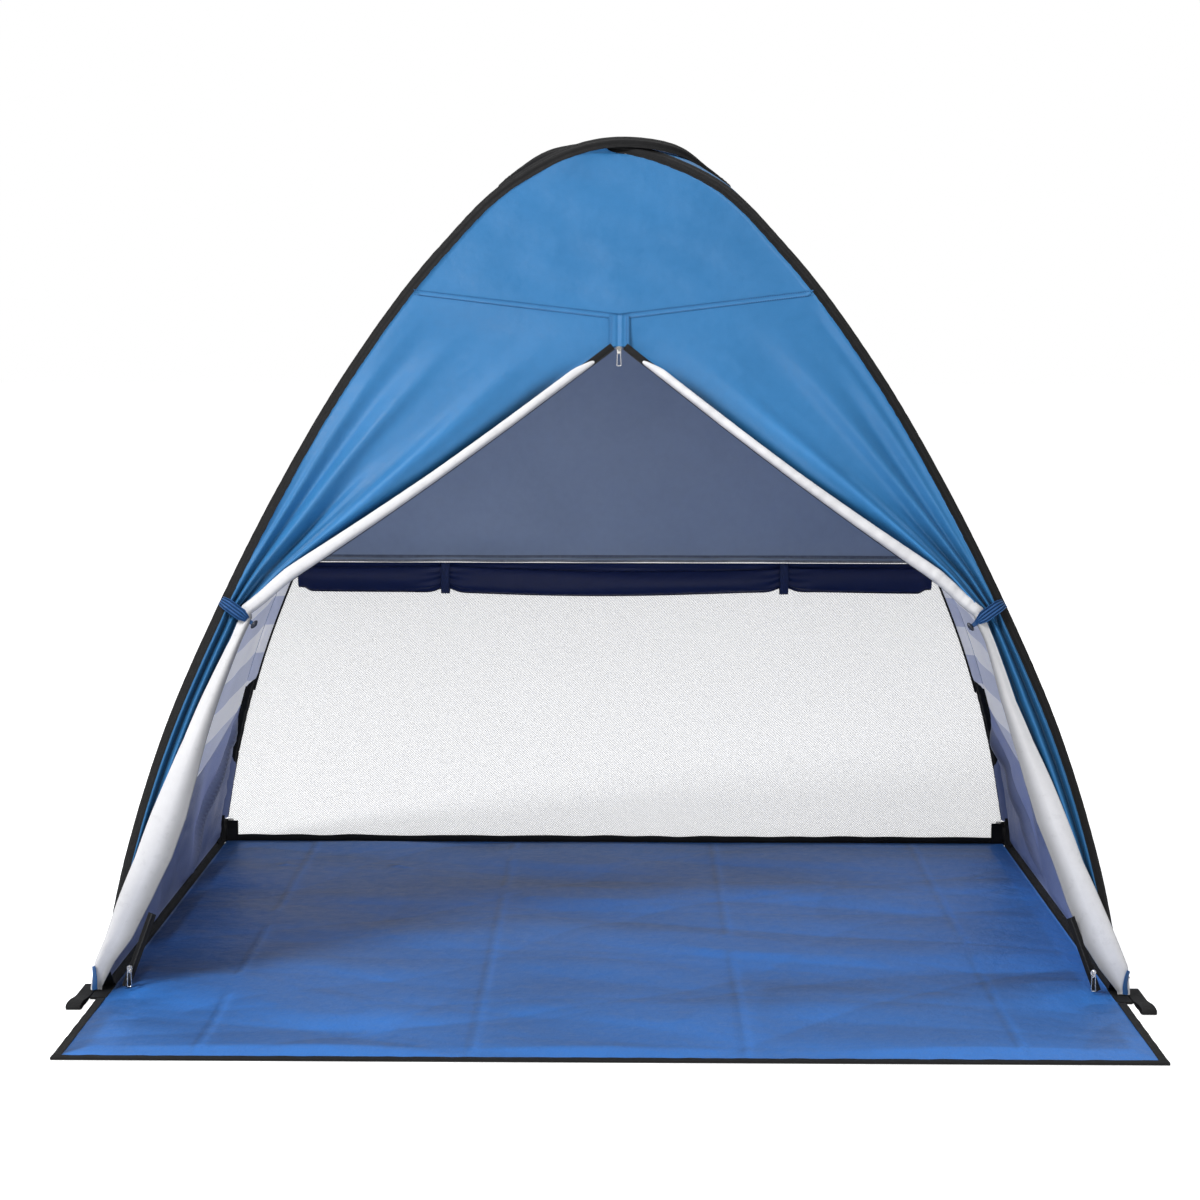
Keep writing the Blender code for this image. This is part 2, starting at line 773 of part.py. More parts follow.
def turned_frame(centre, along, out):
    """A maker of points from places across, along and out of a plane."""
    along, out = unit(along), unit(out)
    across = np.cross(along, out)

    def place(a, b, c):
        return np.asarray(centre) + across * a + along * b + out * c

    return place


def slider_outline():
    """Half round at the nose and narrower at the tail, as a zip slider is."""
    half, reach = slider_width / 2, slider_length / 2
    shoulder = reach - half
    nose = [(half * math.cos(t), shoulder + half * math.sin(t)) for t in np.linspace(0.0, math.pi, 7)]
    waist = half * tail_share
    return nose + [(-waist, -reach), (waist, -reach)]


def build_slider(name, centre, along, out):
    """A zip slider with the bridge on its face that its pull hangs from."""
    place = turned_frame(centre, along, out)
    low, high = -slider_thickness / 2, slider_thickness / 2
    outline = slider_outline()
    base = np.array([place(a, b, low) for a, b in outline])
    rise = place(0, 0, high) - place(0, 0, low)
    body = add_solid(name, *extruded(base, np.zeros(3), rise), "steel", 0.3, 1.0)
    reach = slider_length * bridge_share
    top = high + bridge_rise
    path = [(-reach, high - bridge_rod), (-reach, top), (reach, top), (reach, high - bridge_rod)]
    line = [place(0, b, c) for b, c in path]
    across = place(1, 0, 0) - place(0, 0, 0)
    bridge = add_solid(f"{name}_bridge", *ribbon(line, across, bridge_width, bridge_rod), "steel", 0.3, 1.0)
    union = body.modifiers.new("bridge", "BOOLEAN")
    union.operation = "UNION"
    union.object = bridge
    bridge.hide_render = True
    bridge.display_type = "WIRE"
    rim = pull_width / 2 - pull_eye_radius
    return place(0, bridge_rod / 2 + hang_gap + rim / 2 - reach, high + bridge_rise / 2)


def build_pull(name, pivot, hang, out):
    """A flat pull whose eye takes the slider's bridge, with its origin in the rim that hangs on it."""
    place = turned_frame(pivot, hang, out)
    eye = pull_eye_radius
    drop = (eye + pull_width / 2) / 2
    rim = []
    hole = []
    for k in range(pull_sides):
        turn = math.tau * k / pull_sides
        a, b = math.cos(turn), math.sin(turn)
        reach = pull_length - eye - pull_width / 2 if 0 < k < pull_sides / 2 else 0.0
        wide = pull_width / 2
        rim.append((a * wide, b * wide + reach + drop))
        hole.append((a * eye, b * eye + drop))
    count = pull_sides
    points = []
    for c in (-pull_thickness / 2, pull_thickness / 2):
        points += [place(a, b, c) for a, b in rim]
        points += [place(a, b, c) for a, b in hole]
    faces = []
    for j in range(count):
        k = (j + 1) % count
        faces.append((j, k, count + k, count + j))
        faces.append((2 * count + j, 3 * count + j, 3 * count + k, 2 * count + k))
        faces.append((j, 2 * count + j, 2 * count + k, k))
        faces.append((count + j, count + k, 3 * count + k, 3 * count + j))
    add_solid(name, points, faces, "steel", 0.25, 1.0, origin=pivot)


def build_zip(face, left_end, right_end):
    bottom = build_placket(face, left_end, right_end)
    lean = face.point(zip_offset, zip_height + slider_length) - face.point(zip_offset, zip_height)
    up = unit(lean)
    out = np.cross((1.0, 0.0, 0.0), up)
    centre = bottom - up * (slider_length / 2 + seam_gap) + out * slider_standoff
    pivot = build_slider("zip_slider", centre, up, out)
    build_pull("zip_pull", pivot, (0.0, 0.0, -1.0), (0.0, -1.0, 0.0))


def build_rear(left, right, indices):
    """The rear panel above the seam, the mesh window below it and the piping along the seam."""
    first, last, foot = indices["rear_seam"], indices["crossing"], indices["foot"]
    top = last - clear_of(left.part(slice(last, first, -1)), right.part(slice(first, last + 1)), sleeve_width)
    rear_left, rear_right = left.turned(1, middle_y), right.turned(1, middle_y)
    left_edge, right_edge = rear_left.edge(edge_reach), rear_right.edge(edge_reach)
    chosen = slice(first, top + 1)
    rows = between(left_edge[chosen], right_edge[chosen], panel_columns)
    add_solid("rear_upper_panel", *sheet(rows, cloth_thickness), "navy", 0.6)
    chosen = slice(foot, first + 1)
    rows = between(left_edge[chosen], right_edge[chosen], panel_columns)
    rows[-1, :, 2] -= seam_gap
    hem = rows[:1].copy()
    hem[..., 2] = hem_height
    rows = np.concatenate([hem, rows])
    add_solid("rear_window_mesh", *sheet(rows, mesh_thickness), "mesh", 0.9)
    start, end = left_edge[first], right_edge[first]
    inward = np.array([0.0, -(cloth_thickness / 2 + seam_gap + piping_radius), 0.0])
    ends = np.array([start + inward, end + inward])
    ends[0, 0] += sleeve_thickness
    ends[1, 0] -= sleeve_thickness
    rod = Run(ends, np.array([[0.0, 1.0, 0.0]] * 2), np.array([[0.0, 0.0, 1.0]] * 2))
    add_solid("rear_piping", *swept(rod, round_section(piping_radius)), "grey", 0.7)
    return ends[0]


def roll_section():
    half, deep = roll_height / 2, roll_depth / 2
    turns = [math.tau * k / roll_sides for k in range(roll_sides)]
    return [(deep * math.cos(t), half * math.sin(t)) for t in turns]


def build_roll(piping_point):
    """The rolled window flap that hangs inside the mesh, and the two ties round it."""
    y = piping_point[1] - roll_depth / 2
    top = piping_point[2] - piping_radius - seam_gap - roll_tie_thickness - roll_drop
    stations = []
    for share in np.linspace(-1.0, 1.0, 2 * roll_spans + 1):
        x = share * roll_half_length
        at_tie = abs(x) / (roll_tie_spacing / 2)
        sag = roll_sag * (1 - min(at_tie, 1.0) ** 2)
        stations.append((x, y, top - roll_height / 2 - sag))
    stations = np.array(stations)
    count = len(stations)
    run = Run(stations, np.array([[0.0, 1.0, 0.0]] * count), np.array([[0.0, 0.0, 1.0]] * count))
    pivot = (0.0, piping_point[1], piping_point[2] - piping_radius)
    shape = swept(run, roll_section())
    add_solid("window_flap_roll", *shape, "navy", 0.6, origin=pivot)
    for name, side in (("left", -1.0), ("right", 1.0)):
        x = side * roll_tie_spacing / 2
        low = top - roll_height - roll_sag * tie_slack_share
        middle, half = (top + low) / 2, (top - low) / 2 + seam_gap
        deep = roll_depth / 2 + seam_gap
        turns = [math.tau * k / roll_sides for k in range(roll_sides)]
        points = []
        for x_end in (x - roll_tie_width / 2, x + roll_tie_width / 2):
            for extra in (0.0, roll_tie_thickness):
                ring = []
                for t in turns:
                    place = (math.cos(t) * (deep + extra), math.sin(t) * (half + extra))
                    ring.append((x_end, y + place[0], middle + place[1]))
                if extra:
                    seam = (x_end, pivot[1], pivot[2] - hang_gap)
                    nearest = min(range(roll_sides), key=lambda k: math.dist(ring[k], seam))
                    ring[nearest] = seam
                points += ring
        n = roll_sides
        faces = []
        for j in range(n):
            k = (j + 1) % n
            faces.append((j, k, n + k, n + j))
            faces.append((2 * n + j, 3 * n + j, 3 * n + k, 2 * n + k))
            faces.append((j, 2 * n + j, 2 * n + k, k))
            faces.append((n + j, n + k, 3 * n + k, 3 * n + j))
        add_solid(f"{name}_flap_tie", points, faces, "navy", 0.7, origin=pivot)


def patch(bottom, top, start, end, fade_powers=(1.0, 1.0, 1.0)):
    """A grid over four edges that meet at their ends, taut between the start and the end edge.

    The bulge of the bottom edge fades straight toward the top, and that of the top edge fades toward the
    bottom by a power of its own along each axis.
    """
    rise, run = run_lengths(start), run_lengths(top)
    v = (rise / rise[-1])[:, None, None]
    u = (run / run[-1])[None, :, None]
    taut = start[:, None] * (1 - u) + end[:, None] * u
    bottom_bulge = bottom[None] - (bottom[0] * (1 - u) + bottom[-1] * u)
    top_bulge = top[None] - (top[0] * (1 - u) + top[-1] * u)
    return taut + bottom_bulge * (1 - v) + top_bulge * v ** np.array(fade_powers)


def build_side(name, front, other, indices):
    """The side wall between the front and rear arches: a plain lower panel and a striped upper one."""
    side = -1.0 if name == "left" else 1.0
    foot, seam, cross = indices["foot"], indices["side_seam"], indices["crossing"]
    start = front.edge(-edge_reach)
    end = mirrored(start, 1, middle_y)
    lap = whole_run(other, cross)
    arch = front.part(slice(foot, cross + 1))
    skip = clear_of(lap, arch, lap_clearance)
    top_run = lap.part(slice(skip, len(lap.point) - skip))
    top = top_run.edge(edge_reach)
    corner = cross - clear_of(front.part(slice(cross, foot, -1)), lap, lap_clearance)
    top = np.vstack([start[corner], top, end[corner]])
    along = run_lengths(top)
    share = (along / along[-1])[:, None]
    floor_line = start[foot] * (1 - share) + end[foot] * share
    floor_line[1:-1, 0] = side * hoop_half_span
    floor_line[1:-1, 2] = side_hem_height
    line = start[seam] * (1 - share) + end[seam] * share
    rising = start[foot : cross + 1]
    line[:, 2] -= side_seam_sag * 4 * share[:, 0] * (1 - share[:, 0])
    line[:, 0] = np.interp(line[:, 2], rising[:, 2], rising[:, 0])
    lower = patch(floor_line, line, start[foot : seam + 1], end[foot : seam + 1])
    lower[-1, :, 2] -= seam_gap
    add_solid(f"{name}_side_lower_panel", *sheet(lower, cloth_thickness), "blue", 0.6)
    upper = patch(line, top, start[seam : corner + 1], end[seam : corner + 1], wall_fade_powers)
    add_solid(f"{name}_side_upper_panel", *sheet(upper, cloth_thickness), "stripe", 0.6)


def build_crown(left, right, indices):
    """The lens of cloth between the two loops where they lap."""
    cross = indices["crossing"]
    one, two = whole_run(left, cross), whole_run(right, cross)
    skip = clear_of(one, two, lap_clearance)
    chosen = slice(skip, len(one.point) - skip)
    a, b = one.edge(-edge_reach)[chosen], two.edge(-edge_reach)[chosen]
    rows = between(a, b, crown_columns)
    share = np.linspace(0.0, 1.0, rows.shape[1])
    along = np.linspace(0.0, 1.0, len(rows))
    dome = np.outer(np.sin(np.pi * along), np.sin(np.pi * share)) ** 2
    rows[..., 2] += crown_rise * dome
    add_solid("crown_panel", *sheet(rows, cloth_thickness), "blue", 0.55)


def slotted_section():
    """The section of a tape folded over a cloth edge: places out from the cloth and up from the ground."""
    wide, high = tape_binding_width, binding_height
    depth, leg = tape_binding_overlap, tape_binding_leg
    return [
        (0.0, 0.0),
        (wide, 0.0),
        (wide, high),
        (0.0, high),
        (0.0, high - leg),
        (depth, high - leg),
        (depth, leg),
        (0.0, leg),
    ]


def build_tape_binding(name, start, end, outward, origin=(0.0, 0.0, 0.0)):
    """A folded tape along a straight edge of the floor cloth, from its inner edge outward."""
    start, end, outward = np.array(start), np.array(end), np.array(outward)
    outline = [start + outward * a + np.array([0.0, 0.0, 1.0]) * b for a, b in slotted_section()]
    add_solid(name, *extruded(outline, np.zeros(3), end - start), "black", 0.8, origin=origin)


def build_floor():
    """The floor, the apron that folds up from the threshold, and the tape round both."""
    half = hoop_half_span - binding_width / 2 - seam_gap
    slot_end = tape_binding_overlap - seam_gap
    rear_inner = rear_y + seam_gap + seam_gap
    low = (-half, threshold_y + fold_gap / 2, floor_base)
    high = (half, rear_inner + slot_end, floor_top)
    add_solid("floor_sheet", *bar(low, high), "floor_blue", 0.5)
    wide = hoop_half_span + binding_width / 2
    build_tape_binding(
        "rear_floor_binding", (-wide, rear_inner, 0.0), (wide, rear_inner, 0.0), (0.0, 1.0, 0.0)
    )
    pivot = (0.0, threshold_y, floor_top)
    side_inner = hoop_half_span - tape_binding_width
    front_inner = front_edge_y + tape_binding_width
    low = (-side_inner - slot_end, front_inner - slot_end, floor_base)
    high = (side_inner + slot_end, threshold_y - fold_gap / 2, floor_top)
    add_solid("apron_sheet", *bar(low, high), "floor_blue", 0.5, origin=pivot)
    build_tape_binding(
        "apron_front_binding",
        (-hoop_half_span, front_inner, 0.0),
        (hoop_half_span, front_inner, 0.0),
        (0.0, -1.0, 0.0),
        pivot,
    )
    for name, side in (("left", -1.0), ("right", 1.0)):
        x = side * side_inner
        build_tape_binding(
            f"{name}_apron_binding",
            (x, front_inner + seam_gap, 0.0),
            (x, threshold_y - binding_end_setback, 0.0),
            (side, 0.0, 0.0),
            pivot,
        )


def loop_path(length, eye):
    """The side view of a peg loop: out along its lower leg, round the eye and back along the upper leg."""
    low = strap_thickness / 2
    high = low + strap_thickness + seam_gap
    middle = low + eye / 2
    path = [(0.0, low), (length * loop_neck_share, low)]
    centre = length - eye / 2
    for turn in np.linspace(-math.pi / 2, math.pi / 2, 7):
        path.append((centre + eye / 2 * math.cos(turn), middle + eye / 2 * math.sin(turn)))
    path += [(length * loop_neck_share, high), (0.0, high)]
    return path


def build_peg_loop(name, root, along, out, length, pivot):
    """A loop of webbing sewn down at its root, with an open eye for a peg at its end."""
    root, along, out = np.array(root), unit(along), unit(out)
    path = [root + along * a + out * b for a, b in loop_path(length, loop_eye_height)]
    across = np.cross(along, out)
    add_solid(name, *ribbon(path, across, loop_width, strap_thickness), "black", 0.8, origin=pivot)


def build_peg_loops():
    side_x = hoop_half_span + binding_width / 2 + seam_gap + loop_width / 2
    rear_root_y = rear_y + seam_gap + seam_gap + tape_binding_width + seam_gap
    forward, back, up = (0.0, -1.0, 0.0), (0.0, 1.0, 0.0), (0.0, 0.0, 1.0)
    for name, side in (("left", -1.0), ("right", 1.0)):
        root = (side * side_x, foot_y + front_loop_tuck, 0.0)
        build_peg_loop(f"{name}_front_peg_loop", root, forward, up, front_loop_length, root)
        x = side * (hoop_half_span - rear_loop_inset)
        root, pivot = (x, rear_root_y, 0.0), (x, rear_root_y + loop_depth, 0.0)
        build_peg_loop(f"{name}_rear_peg_loop", root, up, back, rear_loop_length, pivot)


def main():
    clear_scene()
    left, right, indices = build_loops()
    build_frame("left", left, indices)
    build_frame("right", right, indices)
    build_header(left, right, indices)
    face = front_face(left, right, indices)
    for name, own, other in (("left", left, right), ("right", right, left)):
        rows, thickness, fan = build_door(name, own, other, face, indices)
        build_door_tape(name, rows, thickness, fan)
        build_foot_zip(name, rows, thickness)
        build_tie(name, rows, fan, face)
        build_side(name, own, other, indices)
    ends = [run.edge(edge_reach)[indices["header_seam"]] for run in (left, right)]
    build_zip(face, *ends)
    piping_point = build_rear(left, right, indices)
    build_roll(piping_point)
    build_crown(left, right, indices)
    build_floor()
    build_peg_loops()


main()
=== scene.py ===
"""Looks of the pop-up beach tent: cloth with folds and seams, tapes, zips and straps, and the studio.

Metres, +Z up, the doorway toward -Y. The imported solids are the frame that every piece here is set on.
"""

import math

import bpy
import numpy as np
from mathutils import Matrix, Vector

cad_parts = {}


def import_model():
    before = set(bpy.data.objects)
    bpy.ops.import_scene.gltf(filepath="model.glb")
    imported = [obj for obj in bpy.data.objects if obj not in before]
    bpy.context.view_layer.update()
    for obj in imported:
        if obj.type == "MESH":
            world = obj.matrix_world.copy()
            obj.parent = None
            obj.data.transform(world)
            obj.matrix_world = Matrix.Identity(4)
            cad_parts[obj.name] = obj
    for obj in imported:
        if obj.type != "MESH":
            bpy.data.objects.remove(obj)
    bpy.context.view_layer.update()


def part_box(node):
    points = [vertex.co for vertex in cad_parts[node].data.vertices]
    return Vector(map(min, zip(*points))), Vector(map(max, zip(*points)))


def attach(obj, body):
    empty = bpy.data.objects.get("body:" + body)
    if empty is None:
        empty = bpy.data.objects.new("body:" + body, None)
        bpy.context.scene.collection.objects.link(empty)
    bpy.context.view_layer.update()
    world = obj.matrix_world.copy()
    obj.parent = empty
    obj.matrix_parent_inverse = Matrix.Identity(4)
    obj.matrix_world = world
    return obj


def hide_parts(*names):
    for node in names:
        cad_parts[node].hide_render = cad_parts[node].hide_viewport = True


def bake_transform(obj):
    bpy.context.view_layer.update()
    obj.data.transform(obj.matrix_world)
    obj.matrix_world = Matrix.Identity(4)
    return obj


# Shape of the tent, the same as in the solids
hoop_half_span = 0.825
body_depth = 1.200
foot_y = -0.417
middle_y = foot_y + body_depth / 2
threshold_y = -0.467
crown_height = 1.392
crossing_drop = 0.004
crossing_setback = 0.400
crown_overshoot = 0.205
overshoot_drop = 0.065
wire_floor_height = 0.0051
corner_radius = 0.050
lap_spread = 0.150
lap_rise = 0.0060
facing_height = 1.187
inside_point = (0.0, middle_y, facing_height / 2)
arch_width_shares = (1.0, 0.954, 0.884, 0.785, 0.669, 0.531, 0.355, 0.210, 0.0)
arch_height_shares = (0.0, 0.144, 0.289, 0.433, 0.577, 0.722, 0.866, 0.952, 1.0)
lean_power = 1.5
wall_fade_powers = (10.0, 1.0, 3.0)
overshoot_width_shares = (0.52, 0.84, 1.0)
overshoot_depth_shares = (0.12, 0.48, 1.0)
overshoot_drop_shares = (0.22, 0.74, 1.0)
samples_per_span = 40
fine_step = 0.008

# Seams and edges
header_seam_height = 1.135
header_seam_drop = 0.040
rear_seam_height = 0.605
side_seam_height = 0.300
side_seam_sag = 0.080
tie_height = 0.612
tie_width = 0.034
zip_x = 0.010
zip_height = 1.045
zip_part_width = 0.003
sleeve_width = 0.028
corner_cover_radius = 0.0065
edge_reach = 0.0132
hem_height = 0.006

# Cloth
cloth_thickness = 0.0006
mesh_thickness = 0.0005
seam_band_thickness = 0.0008
flap_thickness = 0.0009
floor_thickness = 0.0010
doubled_thickness = 0.0012
thread_pitch = 0.0011
ripple_count = 7
crease_count = 9

# Sides and directions
side_of = {"left": -1.0, "right": 1.0}
forward = np.array([0.0, -1.0, 0.0])
upright = np.array([0.0, 0.0, 1.0])

# Stitches and zip teeth: how far apart, how long and how wide
sleeve_stitch = (0.0042, 0.0028, 0.0007)
binding_stitch = (0.005, 0.003, 0.0007)
header_stitch = (0.0040, 0.0028, 0.0008)
placket_stitch = (0.0036, 0.0025, 0.0008)
side_stitch = (0.005, 0.003, 0.0008)
seam_band_stitch = (0.0045, 0.003, 0.0009)
edge_stitch = (0.005, 0.0032, 0.0008)
tack_stitch = (0.0014, 0.0012, 0.0009)
door_tooth = (0.0022, 0.0015, 0.0026)
foot_tooth = (0.0022, 0.0014, 0.0030)

# Tapes: how wide and how thick
door_zip_tape = (0.0125, 0.0011)
foot_zip_tape = (0.0135, 0.0011)
foot_turn_tape = (0.0090, 0.0016)
net_edge_tape = (0.0052, 0.0020)
seam_tape = (0.0130, 0.0012)
corner_tape = (0.027, 0.0040)
webbing_tape = (0.0236, 0.0016)


def inward_of(side):
    return np.array([-side, 0.0, 0.0])


def unit(vectors):
    vectors = np.asarray(vectors, dtype=float)
    return vectors / np.maximum(np.linalg.norm(vectors, axis=-1, keepdims=True), 1e-12)


def smoothstep(low, high, value):
    share = np.clip((np.asarray(value, dtype=float) - low) / (high - low), 0.0, 1.0)
    return share * share * (3 - 2 * share)


def bump(value, centre, width):
    return np.exp(-(((np.asarray(value, dtype=float) - centre) / width) ** 2))


def waves(u, v, size, seed, count, spread):
    """Waves of random direction and phase over places u and v, with lengths in a spread about the size."""
    draw = np.random.default_rng(seed)
    for _ in range(count):
        turn, phase = draw.uniform(0.0, math.tau, 2)
        length = size * draw.uniform(*spread)
        yield (u * math.cos(turn) + v * math.sin(turn)) * math.tau / length + phase, phase


def ripples(u, v, size, seed):
    """Smooth, repeatable unevenness in waves of about the given size."""
    total = np.zeros(np.broadcast(u, v).shape)
    for place, _ in waves(u, v, size, seed, ripple_count, (0.7, 1.6)):
        total = total + np.sin(place)
    return total / ripple_count**0.5


def creases(u, v, size, seed):
    """Like ripples, but with sharp crests, as in cloth that was folded away."""
    total = np.zeros(np.broadcast(u, v).shape)
    for place, phase in waves(u, v, size, seed, crease_count, (0.6, 1.8)):
        place = place + 0.8 * np.sin(u * math.tau / (3 * size) + phase)
        place = place + 0.8 * np.cos(v * math.tau / (2.3 * size))
        total = total + 1 - 2 * np.abs(np.sin(place / 2)) ** 0.7
    return total / crease_count**0.5


def run_lengths(points):
    return np.concatenate([[0.0], np.cumsum(np.linalg.norm(np.diff(points, axis=0), axis=1))])


def read_at(points, places, wanted):
    """The points at the wanted places along a path whose own points lie at the given places."""
    return np.stack([np.interp(wanted, places, points[:, axis]) for axis in range(3)], axis=-1)


def spaced(points, count):
    """The same path with evenly spaced points."""
    lengths = run_lengths(points)
    return read_at(points, lengths, np.linspace(0.0, lengths[-1], count))


def smooth_curve(points):
    """A curve through the points, whose direction at each one comes from its neighbours."""
    points = np.asarray(points, dtype=float)
    place = run_lengths(points)
    slope = np.gradient(points, place, axis=0)
    curve = []
    for i, length in enumerate(np.diff(place)):
        t = np.linspace(0.0, 1.0, samples_per_span, endpoint=False)[:, None]
        curve.append(
            (2 * t**3 - 3 * t**2 + 1) * points[i]
            + (t**3 - 2 * t**2 + t) * length * slope[i]
            + (3 * t**2 - 2 * t**3) * points[i + 1]
            + (t**3 - t**2) * length * slope[i + 1]
        )
    return np.vstack([*curve, points[-1:]])


def mirrored(points, axis, plane=0.0):
    result = np.array(points, dtype=float)
    result[..., axis] = plane + plane - result[..., axis]
    return result


class Line:
    """Stations along a loop: each has its point, the way across the sleeve and the way out of the tent."""

    def __init__(self, point, across, out):
        self.point = np.asarray(point, dtype=float)
        self.across = np.asarray(across, dtype=float)
        self.out = np.asarray(out, dtype=float)

    def part(self, chosen):
        return Line(self.point[chosen], self.across[chosen], self.out[chosen])

    def turned(self, axis, plane=0.0):
        point = mirrored(self.point, axis, plane)
        return Line(point, mirrored(self.across, axis), mirrored(self.out, axis))

    def joined(self, other):
        return Line(
            np.vstack([self.point, other.point]),
            np.vstack([self.across, other.across]),
            np.vstack([self.out, other.out]),
        )

    def edge(self, reach):
        return self.point + self.across * reach


def loop_half(lift):
    """The left loop's front half from its foot to the end of its overshoot, and the crossing's index."""
    stations = []
    top = crown_height - crossing_drop
    for width_share, height_share in zip(arch_width_shares, arch_height_shares):
        height = wire_floor_height + (top - wire_floor_height) * height_share
        y = foot_y + crossing_setback * height_share**lean_power
        stations.append((-hoop_half_span * width_share, y, height))
    overshoot = zip(overshoot_width_shares, overshoot_depth_shares, overshoot_drop_shares)
    for width_share, depth_share, drop_share in overshoot:
        y = foot_y + crossing_setback + (body_depth / 2 - crossing_setback) * depth_share
        stations.append((crown_overshoot * width_share, y, crown_height - overshoot_drop * drop_share))
    curve = smooth_curve(stations)
    lengths = run_lengths(curve)
    crossing_length = lengths[(len(arch_width_shares) - 1) * samples_per_span]
    before = math.ceil((crossing_length - corner_radius) / fine_step)
    after = math.ceil((lengths[-1] - crossing_length) / fine_step)
    places = np.concatenate(
        [
            np.linspace(corner_radius, crossing_length, before, endpoint=False),
            np.linspace(crossing_length, lengths[-1], after + 1),
        ]
    )
    points = read_at(curve, lengths, places)
    tangents = unit(np.gradient(points, axis=0))
    tangents[-1] = (0.0, 1.0, 0.0)
    hints = unit(points - np.array([0.0, middle_y, facing_height]))
    out = unit(hints - tangents * np.sum(hints * tangents, axis=1, keepdims=True))
    across = np.cross(tangents, out)
    rise = lift * np.exp(-(((places - crossing_length) / lap_spread) ** 4))
    return Line(points + out * rise[:, None], across, out), before


def whole_line(front, first):
    start = front.part(slice(first, None))
    rear = front.turned(1, middle_y).part(slice(first, -1))
    return start.joined(rear.part(slice(None, None, -1)))


def rows_between(start, end, count):
    """A grid whose rows run straight from each point of one line to the same point of another."""
    share = np.linspace(0.0, 1.0, count + 1)[None, :, None]
    return start[:, None] * (1 - share) + end[:, None] * share


def surface_normals(rows):
    down = np.gradient(rows, axis=0)
    along = np.gradient(rows, axis=1)
    return unit(np.cross(down, along))


# Meshes

finishes = {}


def add_mesh(name, points, faces, finish_names, face_slots=None, places=None, shade=None):
    """A mesh with its finishes by name and, where given, its places in the weave and its painted fold shade.
    """
    mesh = bpy.data.meshes.new(name)
    mesh.from_pydata(np.asarray(points, dtype=float).tolist(), [], faces)
    for finish_name in finish_names:
        mesh.materials.append(finishes[finish_name])
    if face_slots is not None:
        mesh.polygons.foreach_set("material_index", face_slots)
    if places is not None:
        layer = mesh.uv_layers.new(name="weave")
        corners = np.empty(len(mesh.loops), dtype=np.int32)
        mesh.loops.foreach_get("vertex_index", corners)
        layer.data.foreach_set("uv", np.asarray(places, dtype=np.float32)[corners].ravel())
    if shade is not None:
        layer = mesh.attributes.new("painted_fold_shade", "FLOAT", "POINT")
        layer.data.foreach_set("value", np.asarray(shade, dtype=np.float32))
    mesh.shade_smooth()
    body = bpy.data.objects.new(name, mesh)
    bpy.context.scene.collection.objects.link(body)
    return body


def metric_places(rows):
    """How far each point of a grid lies along its row and along its column, in metres."""
    across = np.cumsum(np.linalg.norm(np.diff(rows, axis=1), axis=2), axis=1)
    across = np.concatenate([np.zeros((len(rows), 1)), across], axis=1)
    down = np.cumsum(np.linalg.norm(np.diff(rows, axis=0), axis=2), axis=0)
    down = np.concatenate([np.zeros((1, rows.shape[1])), down], axis=0)
    down = np.repeat(down.mean(axis=1, keepdims=True), rows.shape[1], axis=1)
    return np.stack([across, down], axis=-1)


def add_sheet(name, rows, outside, inside, thickness=cloth_thickness, shade=None, away_from=inside_point):
    """A sheet of cloth over a grid of points, with a finish on each side. It faces away from a point."""
    rows = np.asarray(rows, dtype=float)
    down, along = rows.shape[:2]
    normals = surface_normals(rows)
    near = slice(0, max(2, along // 4))
    flip = np.sum(normals[:, near] * (rows[:, near] - np.asarray(away_from))) < 0
    if flip:
        normals = -normals
    places = metric_places(rows).reshape(-1, 2)
    outer, inner = rows + normals * thickness / 2, rows - normals * thickness / 2
    points = np.vstack([outer.reshape(-1, 3), inner.reshape(-1, 3)])
    layer = down * along
    index = np.arange(layer).reshape(down, along)
    a, b, c, d = index[:-1, :-1], index[:-1, 1:], index[1:, 1:], index[1:, :-1]
    upper = np.stack([a, b, c, d] if flip else [d, c, b, a], axis=-1).reshape(-1, 4)
    lower = np.roll(upper[:, ::-1], 1, axis=1) + layer
    rim = np.concatenate([index[0, :], index[1:, -1], index[-1, -2::-1], index[-2:0:-1, 0]])
    after = np.roll(rim, -1)
    edge = np.stack([rim, rim + layer, after + layer, after], axis=-1)
    if flip:
        edge = edge[:, ::-1]
    faces = np.vstack([upper, lower, edge])
    slots = np.repeat([0, 1, 0], [len(upper), len(lower), len(edge)]).astype(np.int32)
    places = np.vstack([places, places])
    if shade is not None:
        shade = np.concatenate([layer_shade.ravel() for layer_shade in shade])
    return add_mesh(name, points, faces.tolist(), [outside, inside], slots, places, shade)


def add_swept(name, line, section, finish):
    """A section carried along a line: one list of places, or one such list per station."""
    section = np.asarray(section, dtype=float)
    count = len(line.point)
    if section.ndim == 2:
        section = np.repeat(section[None], count, axis=0)
    rings = (
        line.point[:, None]
        + line.across[:, None] * section[:, :, 0, None]
        + line.out[:, None] * section[:, :, 1, None]
    )
    sides = rings.shape[1]
    index = np.arange(count * sides).reshape(count, sides)
    after = np.roll(index, -1, axis=1)
    faces = np.stack([index[:-1], after[:-1], after[1:], index[1:]], axis=-1).reshape(-1, 4).tolist()
    faces += [index[0, ::-1].tolist(), index[-1].tolist()]
    around, along = run_lengths(section[0]), run_lengths(line.point)
    places = np.stack(np.broadcast_arrays(around[None, :], along[:, None]), axis=-1).reshape(-1, 2)
    body = add_mesh(name, rings.reshape(-1, 3), faces, [finish], None, places)
    body.data.set_sharp_from_angle(angle=math.radians(50.0))
    return body


def straight_line(points, out):
    """A line with its own frame, for straps and tapes."""
    points = np.asarray(points, dtype=float)
    tangents = unit(np.gradient(points, axis=0))
    out = np.broadcast_to(np.asarray(out, dtype=float), points.shape)
    out = unit(out - tangents * np.sum(out * tangents, axis=1, keepdims=True))
    return Line(points, np.cross(tangents, out), out)


